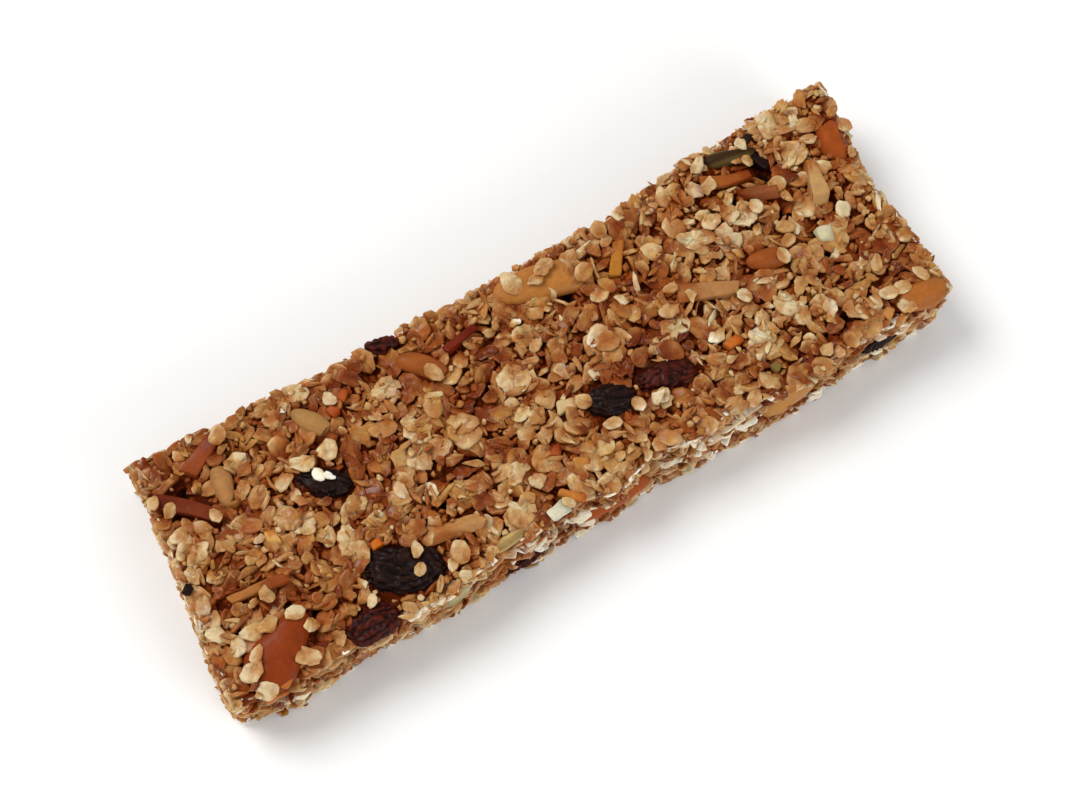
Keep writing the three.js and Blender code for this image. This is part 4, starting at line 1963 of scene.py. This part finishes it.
@dataclass(frozen=True)
class Tones:
    """How pale the pieces of a kind are: the middle, the spread, and the share that is very dark."""

    middle: float
    spread: float
    dark_share: float

    def draw(self, random: Random) -> float:
        """Draws one piece's tone.

        Args:
            random: the source of chance.

        Returns:
            The tone, from 0 to 1.
        """
        if random.random() < self.dark_share:
            return float(random.uniform(0.0, 0.2))
        return float(np.clip(random.normal(self.middle, self.spread), 0, 1))


@dataclass(frozen=True)
class Layer:
    """One layer of pieces on a face: how many are tried, of what kinds, and how they lie."""

    count: int
    shares: dict[Oat, float]
    tones: Tones
    allowance: tuple[float, float]
    spread: float
    sink: float = 0.06
    tries: int = 10


TOP_LAYERS = (
    Layer(2500, {Oat.CRUMB: 0.45, Oat.SLIVER: 0.2, Oat.CHIP: 0.35},
          Tones(0.34, 0.15, 0.08), (-0.8, -0.2), 28.0),
    Layer(1250, {Oat.CHIP: 0.46, Oat.ROLLED: 0.25, Oat.FLAKE: 0.13, Oat.GROAT: 0.06, Oat.SLIVER: 0.1},
          Tones(0.56, 0.17, 0.02), (-0.1, 0.7), 17.0, 0.05, 6),
    Layer(700, {Oat.CRUMB: 0.6, Oat.SLIVER: 0.4}, Tones(0.56, 0.18, 0.03), (-0.2, 0.5), 28.0, 0.1, 5),
)
BOTTOM_LAYERS = (
    Layer(1000, {Oat.TRAY_FLAKE: 0.85, Oat.SLIVER: 0.15}, Tones(0.46, 0.2, 0.1), (0.0, 0.1), 6.0),
    Layer(400, {Oat.CRUMB: 1.0}, Tones(0.3, 0.2, 0.1), (-0.4, 0.0), 30.0, 0.1, 14),
)
# The lower layer of a cut side is the same on all of them, but for how many pieces it has.
LOWER_SIDE_LAYER = (
    {Oat.WAFER: 0.5, Oat.CRUMB: 0.3, Oat.SLIVER: 0.2}, Tones(0.36, 0.2, 0.15), (-0.7, -0.2), 16.0,
)
LONG_SIDE_LAYERS = (
    Layer(1100, *LOWER_SIDE_LAYER),
    Layer(1200, {Oat.WAFER: 0.75, Oat.CRUMB: 0.1, Oat.SLIVER: 0.15},
          Tones(0.6, 0.28, 0.2), (-0.35, 0.75), 12.0, 0.04, 7),
)
END_LAYERS = (
    Layer(380, *LOWER_SIDE_LAYER),
    Layer(400, {Oat.WAFER: 0.7, Oat.CHIP: 0.1, Oat.SLIVER: 0.2},
          Tones(0.6, 0.2, 0.06), (0.1, 0.9), 13.0, 0.04, 7),
)
CUT_LAYERS = {
    Side.FRONT: LONG_SIDE_LAYERS, Side.BACK: LONG_SIDE_LAYERS, Side.LEFT: END_LAYERS, Side.RIGHT: END_LAYERS,
}

# How pale a placed flake is.
FLOUR, WHITE, CREAM, GOLD = 1.35, 1.06, 0.86, 0.68

# Flakes on top that stand out by their size or paleness.
LARGE_FLAKES = tuple(Landmark((x, y), length, tone) for x, y, length, tone in (
    (-26.7, 12.8, 2.4, WHITE), (-25.1, -3.7, 2.8, WHITE), (-21.5, -5.3, 3.2, WHITE),
    (-54.1, -18.0, 3.4, WHITE), (-31.4, -2.2, 4.4, CREAM), (41.9, -4.2, 4.0, GOLD), (-3.7, 2.4, 4.4, CREAM),
    (-34.2, -6.3, 5.2, CREAM), (-52.4, 5.2, 5.4, CREAM), (-45.9, 2.9, 4.8, GOLD), (-53.7, 1.3, 4.2, CREAM),
    (-38.5, -0.4, 4.4, CREAM), (-19.4, 10.3, 4.2, CREAM), (-21.6, 6.4, 4.6, CREAM),
    (-18.6, 2.9, 4.4, CREAM), (-17.5, -0.6, 5.0, CREAM), (-13.2, -1.2, 4.6, GOLD),
    (-10.6, -6.9, 4.0, CREAM), (-7.6, -10.4, 4.2, CREAM), (-5.8, -5.8, 3.6, CREAM),
    (-51.3, -10.9, 4.6, CREAM), (-54.4, -11.1, 3.0, WHITE), (-56.2, -8.2, 2.8, CREAM),
    (-17.4, -8.0, 4.4, GOLD), (-12.4, -14.3, 4.2, GOLD), (-55.6, -3.9, 2.8, CREAM),
    (21.1, -1.6, 4.4, CREAM), (9.9, 2.1, 4.0, WHITE), (12.8, 0.4, 3.4, CREAM), (17.2, -3.3, 4.0, CREAM),
    (29.7, 7.3, 4.2, CREAM), (23.5, 9.0, 3.2, CREAM), (37.9, 6.6, 4.2, CREAM), (49.3, 17.4, 4.8, CREAM),
    (49.9, -7.5, 4.2, CREAM), (41.0, -10.9, 3.4, WHITE), (29.4, -10.5, 4.0, CREAM),
    (-10.4, -9.4, 3.6, CREAM), (51.2, 0.7, 3.0, WHITE), (34.2, 14.1, 3.2, WHITE), (35.6, -7.4, 4.2, CREAM),
    (47.6, -2.4, 4.6, GOLD),
))
# Flakes that lie partly on a raisin or a nut.
LYING_FLAKES = tuple(Landmark((x, y), length, tone) for x, y, length, tone in (
    (-33.6, 3.8, 2.2, FLOUR), (-32.4, 2.9, 1.9, FLOUR), (-34.6, 6.3, 3.6, CREAM), (-30.4, 6.4, 3.4, CREAM),
    (-27.6, -12.0, 2.8, CREAM), (-28.6, -14.6, 2.2, CREAM), (-45.9, -11.2, 3.0, CREAM),
    (-44.6, -13.6, 2.6, GOLD), (-47.2, -17.2, 3.6, GOLD), (3.7, 14.4, 4.0, GOLD), (6.9, 13.2, 3.0, GOLD),
    (8.6, 14.2, 3.5, GOLD), (12.0, 13.0, 4.8, GOLD), (13.2, 10.8, 3.2, GOLD), (42.0, 15.4, 3.0, GOLD),
    (43.6, 16.6, 2.6, CREAM), (50.4, -16.4, 3.0, GOLD), (51.6, -13.6, 3.0, GOLD),
    (-36.2, -14.9, 2.2, CREAM), (36.2, 16.6, 3.2, CREAM), (43.3, 13.9, 2.4, GOLD),
    (13.2, -10.1, 2.6, CREAM), (39.3, -1.2, 2.8, CREAM), (-47.6, -7.2, 2.6, GOLD), (55.2, -13.2, 3.0, GOLD),
    (-53.2, 9.4, 2.4, GOLD), (-54.6, -15.2, 3.6, CREAM), (-53.0, -13.6, 3.2, GOLD),
    (-49.8, -10.8, 3.1, GOLD), (49.4, -13.4, 3.0, GOLD), (31.2, -3.4, 2.6, CREAM), (22.6, 2.6, 2.4, GOLD),
    (45.0, 6.4, 2.4, GOLD), (35.8, 13.2, 2.4, CREAM), (3.0, -5.4, 2.6, GOLD), (5.0, -10.0, 2.8, CREAM),
    (9.4, -9.6, 2.4, CREAM), (12.2, -10.2, 2.6, WHITE), (-6.2, -17.6, 2.2, CREAM), (-55.2, 11.4, 2.4, GOLD),
    (-48.2, 5.8, 2.4, GOLD), (24.4, 0.2, 2.4, GOLD), (-12.6, 8.6, 3.2, GOLD), (-42.6, 15.4, 2.8, GOLD),
    (44.8, 8.6, 3.0, GOLD), (40.2, 7.2, 2.6, CREAM),
))
# Pits between the flakes, each as a place and a radius.
PITS = (
    ((-43.0, -12.4), 0.9), ((-50.0, 11.2), 0.8), ((-13.2, -4.6), 1.0), ((-20.6, -7.9), 0.7),
    ((44.6, 14.6), 1.2), ((44.6, 11.0), 0.9), ((43.8, 4.9), 1.0), ((42.4, -13.2), 1.0), ((9.8, 9.1), 0.9),
    ((-6.5, 3.9), 0.8), ((38.5, -14.4), 0.9), ((43.1, -0.4), 0.8), ((45.9, -3.6), 0.7),
    ((47.0, -11.9), 0.6), ((38.0, 9.6), 0.7),
)

# Sunken areas where the syrup has soaked the oats, darkened partly as painted shade: place, radius, strength.
SOAKED_AND_SHADED_AREAS = (
    ((-52.0, 10.0), 4.5, 0.9), ((-26.5, 11.0), 3.5, 0.6), ((-27.0, 3.0), 3.0, 0.5),
    ((-13.0, 13.0), 3.0, 0.4), ((-10.0, 0.0), 3.0, 0.6), ((-44.0, -11.0), 4.0, 0.9),
    ((-53.0, -6.0), 4.0, 0.4), ((3.0, -12.0), 2.5, 0.6), ((9.8, 8.5), 2.6, 0.6), ((22.0, 13.0), 3.0, 0.7),
    ((33.0, 2.0), 4.5, 0.15), ((43.0, 13.5), 4.0, 0.9), ((43.0, 4.0), 3.5, 0.5), ((38.0, -13.5), 3.0, 0.5),
    ((-18.0, 7.0), 2.5, 0.5), ((20.0, -9.5), 3.0, 0.5), ((-54.0, -16.0), 4.0, 1.1),
    ((-37.0, -12.5), 2.6, 0.7), ((-13.0, -13.5), 3.0, 0.6), ((52.5, -10.5), 3.5, 0.8),
    ((-33.0, -13.5), 2.5, 1.0), ((-5.0, -13.0), 3.0, 0.6), ((6.5, 10.0), 2.6, 0.6),
    ((-8.5, 12.0), 3.0, 0.5), ((0.0, 11.5), 2.5, 0.4), ((-22.0, 16.0), 2.6, 0.4),
)


# How many cells of the edge of a raisin, a stick, another nut or seed, and a bit, the oats may cover.
RAISIN_OVERLAP, STICK_OVERLAP, NUT_OVERLAP, BIT_OVERLAP = 1, 2, 4, 2
# The same in the cut sides, and how deep in millimetres a piece may lie there and still show.
SIDE_OVERLAP, SIDE_SHOWS_WITHIN = 1, 2.2
# How the large flakes come to lie, and those on raisins and nuts.
LARGE_LIE = Lie(9.0, 0.04, 0.6, anywhere=True)
ON_TOP_LIE = Lie(7.0, 0.04, 1.9, anywhere=True)
# One of those over this length, in millimetres, is a flake, and a shorter one a rolled oat or a chip.
FLAKE_LENGTH = 3.2
# The most triangles in one mesh.
MOST_TRIANGLES = 190_000


@dataclass
class OatPieces:
    """All the oat pieces, settled on every face and joined by kind."""

    envelope: Envelope
    solids: list[tuple[Shape, int]]
    seed: int = 20
    templates_each: int = 24
    large_level: int = 2
    least_cells: int = 5
    scatters: dict[Oat, Scatter] = field(default_factory=dict)
    beds: dict[Side, Bed] = field(default_factory=dict)

    def build(self) -> None:
        """Settles and joins all the pieces."""
        random = np.random.default_rng(self.seed)
        for kind in Oat:
            self.scatters[kind] = Scatter([kind.value.template(random) for _ in range(self.templates_each)])
        top = Bed(Side.TOP, self.envelope, random, relief=0.8)
        for place, radius in PITS:
            top.hollow(place, radius)
        self._cover(top, TOP_LAYERS, LARGE_FLAKES, LYING_FLAKES)
        self._cover(Bed(Side.BOTTOM, self.envelope, random, depth=1.2), BOTTOM_LAYERS)
        for side, layers in CUT_LAYERS.items():
            self._cover(Bed(side, self.envelope, random, edge_on=True), layers)
        finish = OatFinish("glazed_oats").build()
        pieces = [piece for kind in Oat for piece in self._joined(kind, finish)]
        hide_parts("oat_slab")

    def _cover(self, bed: Bed, layers: tuple[Layer, ...], large: tuple[Landmark, ...] = (),
               lying: tuple[Landmark, ...] = ()) -> None:
        """Covers one face, layer by layer, round the raisins, nuts and seeds.

        Args:
            bed: the face.
            layers: the layers, lowest first.
            large: flakes laid before the last layer.
            lying: flakes laid last, also on raisins and nuts.
        """
        for shape, overlap in self.solids:
            if bed.edge_on:
                bed.lay_solid(shape.points, SIDE_OVERLAP, SIDE_SHOWS_WITHIN)
            else:
                bed.lay_solid(shape.points, overlap)
        self.beds[bed.side] = bed
        for level, layer in enumerate(layers):
            for flake in large if level == self.large_level else ():
                bed.lay_flake(self.scatters[Oat.FLAKE], flake, LARGE_LIE)
            kinds = bed.random.choice(list(layer.shares), layer.count, p=list(layer.shares.values()))
            for kind in kinds:
                over = float(bed.random.uniform(*layer.allowance))
                tone = layer.tones.draw(bed.random)
                bed.place(self.scatters[kind], tone, Lie(layer.spread, layer.sink, over), layer.tries)
        for flake in lying:
            small = (Oat.ROLLED, Oat.CHIP)[int(bed.random.integers(2))]
            kind = Oat.FLAKE if flake.length > FLAKE_LENGTH else small
            bed.lay_flake(self.scatters[kind], flake, ON_TOP_LIE)
        shown = bed.shown(self.least_cells)
        for scatter in self.scatters.values():
            scatter.keep_shown(bed.side, shown)
        LOG.info("%s: %d pieces settled, %d show", bed.side.name, bed.count, len(shown))

    @staticmethod
    def _torn(piece: Settled) -> float:
        """Works out how far the knife opened a piece: only pale ones, in stretches of the front.

        Args:
            piece: the settled piece.

        Returns:
            The depth in millimetres.
        """
        if piece.side is not Side.FRONT:
            return 0.0
        floury = SoftNoise(77).at(piece.place[None] * (1.0, 1.0, 1.6), 4.6)[0]
        return 0.26 * float(smoothstep(floury, 0.05, 0.4) * smoothstep(piece.tone, 0.3, 0.6))

    def _placed(self, template: Template, pieces: list[Settled]) -> Shape:
        """The settled pieces of one template as one shape, pressed and cut.

        Args:
            template: their form.
            pieces: where they lie, and how.

        Returns:
            Their shape, with the marks that their finish reads.
        """
        turns = np.array([piece.turn for piece in pieces])
        places = np.array([piece.place for piece in pieces])
        count, members = len(template.points), len(pieces)
        points = np.einsum("mij,nj->mni", turns, template.points) + places[:, None, :]
        allowance = np.repeat([piece.allowance for piece in pieces], count)
        moved, cut = self.envelope.pressed(points.reshape(-1, 3), allowance)
        sunk = np.zeros(len(moved))
        for side, bed in self.beds.items():
            here = np.repeat([piece.side is side for piece in pieces], count)
            sunk[here] = bed.sunk(moved[here])
        marks = {
            "tone": np.repeat([piece.tone for piece in pieces], count) + np.tile(template.shade, members),
            "rim": np.tile(template.rim, members),
            "cut": np.maximum(cut, np.repeat([self._torn(piece) for piece in pieces], count)),
            "depth": np.maximum(self.envelope.depth(moved), 0),
            "sunk": sunk,
        }
        flipped = np.linalg.det(turns) < 0
        triangles = np.tile(template.triangles, (members, 1, 1))
        triangles[flipped] = triangles[flipped][:, :, ::-1]
        starts = np.arange(members) * count
        return Shape(moved, (triangles + starts[:, None, None]).reshape(-1, 3), marks)

    def _joined(self, kind: Oat, finish: bpy.types.Material) -> list[bpy.types.Object]:
        """Joins the pieces of one kind, in as many meshes as keep each under a size.

        Args:
            kind: the kind of piece.
            finish: the material.

        Returns:
            The joined meshes.
        """
        batches: list[list[Shape]] = [[]]
        for number, template in enumerate(self.scatters[kind].templates):
            pieces = [piece for piece in self.scatters[kind].pieces if piece.template == number]
            if not pieces:
                continue
            shape = self._placed(template, pieces)
            if sum(len(one.triangles) for one in (*batches[-1], shape)) > MOST_TRIANGLES:
                batches.append([])
            batches[-1].append(shape)
        return [
            joined(batch).to_object(f"oat_{kind.name.lower()}s_{number}", "oats", finish)
            for number, batch in enumerate(batches, 1) if batch
        ]


# ---- Studio ----


@dataclass(frozen=True)
class Camera:
    """The camera's place round the bar. Angles in degrees, distances in metres, the lens in millimetres."""

    azimuth: float = -43.87
    elevation: float = 69.55
    roll: float = 12.78
    distance: float = 0.34391
    target: tuple[float, float, float] = (0.00176, 0.00198, 0.0)
    lens: float = 80.0
    sensor: float = 36.0
    clip: tuple[float, float] = (0.01, 20.0)

    def axes(self) -> tuple[Vector, Vector, Vector]:
        """Turns the angles into directions.

        Returns:
            The picture's right, up and backward directions.
        """
        a, e, r = (math.radians(angle) for angle in (self.azimuth, self.elevation, self.roll))
        back = Vector((math.sin(a) * math.cos(e), -math.cos(a) * math.cos(e), math.sin(e)))
        level = Vector((math.cos(a), math.sin(a), 0))
        rise = back.cross(level)
        right = level * math.cos(r) + rise * math.sin(r)
        up = rise * math.cos(r) - level * math.sin(r)
        return right, up, back

    def build(self) -> None:
        """Makes the camera and looks through it."""
        right, up, back = self.axes()
        data = bpy.data.cameras.new("camera")
        data.lens, data.sensor_width = self.lens, self.sensor
        data.clip_start, data.clip_end = self.clip
        camera = bpy.data.objects.new("camera", data)
        place = Matrix((right, up, back)).transposed().to_4x4()
        place.translation = Vector(self.target) + back * self.distance
        camera.matrix_world = place
        bpy.context.scene.collection.objects.link(camera)
        bpy.context.scene.camera = camera


@dataclass(frozen=True)
class Lamp:
    """One large soft lamp that faces the bar. Sizes in metres."""

    name: str
    power: float
    size: float
    distance: float
    direction: tuple[float, float, float]
    shade: tuple[float, float, float] = (1.0, 0.985, 0.96)

    def build(self) -> None:
        """Makes the lamp."""
        data = bpy.data.lights.new(self.name, "AREA")
        data.shape = "DISK"
        data.size = self.size
        data.energy = self.power
        data.color = self.shade
        lamp = bpy.data.objects.new(self.name, data)
        direction = Vector(self.direction).normalized()
        lamp.location = direction * self.distance
        lamp.rotation_euler = direction.to_track_quat("Z", "Y").to_euler()
        bpy.context.scene.collection.objects.link(lamp)


@dataclass(frozen=True)
class Studio:
    """A plain white floor and soft light. Lengths in metres."""

    floor_size: float = 6.0
    floor_squares: int = 8
    floor_gap: float = 0.00005
    floor_shades: tuple[float, float] = (0.93, 0.97)
    floor_roughness: float = 0.8
    ambient: float = 0.5
    lamps: tuple[Lamp, ...] = (
        Lamp("key", 5.55, 0.5, 0.9, (-0.36, 0.5, 0.8)),
        Lamp("front_fill", 2.9, 0.6, 0.9, (0.25, -0.85, 0.45)),
    )

    def build(self) -> None:
        """Makes the floor, the surrounding light and the lamps."""
        self._floor()
        self._surround()
        for lamp in self.lamps:
            lamp.build()
        settings = bpy.context.scene.view_settings
        settings.view_transform = "Standard"
        settings.look = "None"

    def _floor(self) -> None:
        """The floor that the bar lies on."""
        builder = bmesh.new()
        squares, half = self.floor_squares, self.floor_size / 2
        bmesh.ops.create_grid(builder, x_segments=squares, y_segments=squares, size=half)
        mesh = bpy.data.meshes.new("floor")
        builder.to_mesh(mesh)
        builder.free()
        material = bpy.data.materials.new("white_floor")
        material.use_nodes = True
        graph = Graph(material.node_tree)
        shades = [(light, light, light, 1) for light in self.floor_shades]
        shader = material.node_tree.nodes["Principled BSDF"]
        graph.feed(shader.inputs["Base Color"], graph.mix(graph.noise(graph.place(), 3.0), *shades))
        graph.feed(shader.inputs["Roughness"], self.floor_roughness)
        mesh.materials.append(material)
        floor = bpy.data.objects.new("floor", mesh)
        floor.location.z = -self.floor_gap
        bpy.context.scene.collection.objects.link(floor)

    def _surround(self) -> None:
        """Even light from all round."""
        world = bpy.data.worlds.new("studio")
        bpy.context.scene.world = world
        world.use_nodes = True
        background = world.node_tree.nodes["Background"]
        background.inputs["Color"].default_value = (1.0, 1.0, 1.0, 1)
        background.inputs["Strength"].default_value = self.ambient


# ---- The whole bar ----

# Each raisin's fold colour, darkened as painted shade, and ridge colour, lightened as a painted sheen.
DARK_FRUIT = ((12, 4, 4), (40, 19, 13))
RED_FRUIT = ((26, 5, 4), (78, 24, 12))

RAISINS = {
    "raisin_1": DARK_FRUIT, "raisin_2": RED_FRUIT, "raisin_3": DARK_FRUIT, "raisin_4": RED_FRUIT,
    "raisin_5": DARK_FRUIT, "raisin_6": RED_FRUIT, "raisin_7": DARK_FRUIT, "raisin_8": RED_FRUIT,
}

# Each nut's slot, whether it is a chopped stick, and its colour.
NUTS = {
    "almond_1": ("almond_pale", False, (200, 138, 70)),
    "almond_2": ("almond_toasted", True, (190, 122, 44)),
    "almond_3": ("almond_toasted", False, (172, 98, 44)),
    "almond_4": ("almond_skin", True, (122, 38, 16)),
    "almond_5": ("almond_toasted", True, (152, 72, 32)),
    "almond_6": ("almond_skin", True, (122, 50, 24)),
    "almond_7": ("almond_pale", False, (194, 146, 92)),
    "almond_8": ("almond_skin", False, (166, 78, 28)),
    "almond_9": ("almond_toasted", True, (180, 114, 56)),
    "almond_10": ("almond_pale", True, (200, 144, 86)),
    "almond_11": ("almond_toasted", False, (186, 96, 40)),
    "almond_12": ("almond_pale", False, (212, 156, 84)),
    "almond_13": ("almond_pale", True, (202, 156, 98)),
    "almond_14": ("almond_toasted", False, (178, 88, 30)),
    "almond_15": ("almond_toasted", True, (164, 88, 34)),
    "almond_16": ("almond_toasted", True, (156, 88, 48)),
    "almond_17": ("almond_pale", True, (184, 128, 76)),
    "almond_18": ("almond_toasted", False, (172, 94, 40)),
    "almond_19": ("almond_toasted", False, (194, 122, 57)),
    "almond_20": ("almond_pale", False, (190, 150, 94)),
}

BITS = (
    Bit("almond_toasted", (-50.9, -17.6), (5.2, 3.0, 1.8), 25, (192, 110, 47), rise=-0.35),
    Bit("almond_pale", (1.1, -4.7), (4.5, 2.2, 1.8), -13, (222, 190, 138)),
    Bit("almond_toasted", (47.8, -15.8), (3.2, 2.6, 2.4), 35, (204, 138, 74)),
    Bit("almond_pale", (-43.2, -0.6), (2.7, 2.4, 2.0), 70, (222, 168, 88)),
    Bit("almond_toasted", (-31.6, -8.4), (2.9, 1.8, 1.8), 5, (212, 112, 30)),
    Bit("almond_toasted", (-5.1, -15.7), (4.7, 1.6, 1.8), -48, (204, 126, 54)),
    Bit("almond_toasted", (26.0, -8.5), (3.0, 1.8, 1.8), 10, (206, 112, 40)),
    Bit("almond_skin", (-3.9, -9.5), (2.6, 2.0, 1.8), 40, (176, 84, 36)),
    Bit("almond_toasted", (-1.4, -12.8), (3.4, 2.2, 1.8), -20, (202, 134, 62)),
    Bit("almond_skin", (-27.2, 10.8), (2.6, 1.7, 1.6), -60, (184, 88, 36)),
    Bit("almond_skin", (-24.8, 12.2), (2.2, 1.5, 1.6), 30, (176, 84, 36)),
    Bit("almond_toasted", (15.5, 4.6), (4.6, 2.4, 2.2), 4, (192, 132, 80), Side.FRONT),
    Bit("pumpkin_seed", (46.5, -1.0), (4.0, 3.4, 2.2), -15, (198, 188, 152)),
    Bit("pumpkin_seed", (-7.9, -16.8), (3.6, 2.6, 1.5), 14, (208, 202, 176)),
    Bit("pumpkin_seed", (29.5, -14.4), (2.4, 1.8, 1.6), 25, (118, 98, 50)),
    Bit("raisin", (-56.4, -1.3), (2.4, 1.9, 2.0), 40, (34, 16, 12)),
    Bit("raisin", (45.2, 13.6), (4.2, 2.2, 2.0), -64, (34, 18, 14), rise=-0.2),
    Bit("raisin", (45.4, 17.2), (2.8, 2.2, 1.8), 20, (44, 26, 18), rise=-0.2),
    Bit("almond_toasted", (-53.2, 9.4), (4.2, 2.2, 2.0), 8, (200, 118, 52), Side.FRONT),
)

SEEDS = {
    "pumpkin_seed_1": ((98, 80, 44), (52, 34, 16)),
    "pumpkin_seed_2": ((188, 160, 104), (150, 122, 74)),
    "pumpkin_seed_3": ((190, 180, 140), (150, 140, 100)),
}


def build_inclusions(envelope: Envelope) -> list[tuple[Shape, int]]:
    """Builds the raisins, nuts and seeds, and the bits of them.

    Args:
        envelope: the bar's faces.

    Returns:
        Their shapes, for the oats to settle round, each with how far its edge may be covered.
    """
    shapes = []
    for node, shades in RAISINS.items():
        shapes.append((Raisin(node, FruitFinish(f"{node}_skin", *shades)).build(), RAISIN_OVERLAP))
    for node, (slot, stick, shade) in NUTS.items():
        nut = Nut(node, NutFinish(f"{node}_flesh", shade, slot == "almond_skin", stick), slot, stick=stick)
        shapes.append((nut.build(), STICK_OVERLAP if stick else NUT_OVERLAP))
    for node, shades in SEEDS.items():
        shapes.append((Seed(node, SeedFinish(f"{node}_skin", *shades)).build(), NUT_OVERLAP))
    return shapes + [(bit.build(envelope, number), BIT_OVERLAP) for number, bit in enumerate(BITS, 1)]


def main() -> None:
    """Builds the bar, the studio and the camera."""
    logging.basicConfig(level=logging.INFO, format="%(name)s: %(message)s")
    Camera().build()
    envelope = Envelope()
    solids = build_inclusions(envelope)
    oats = OatPieces(envelope, solids)
    oats.build()
    OatCore(envelope, oats.beds[Side.TOP]).build()
    Studio().build()


if __name__ == "__main__":
    main()
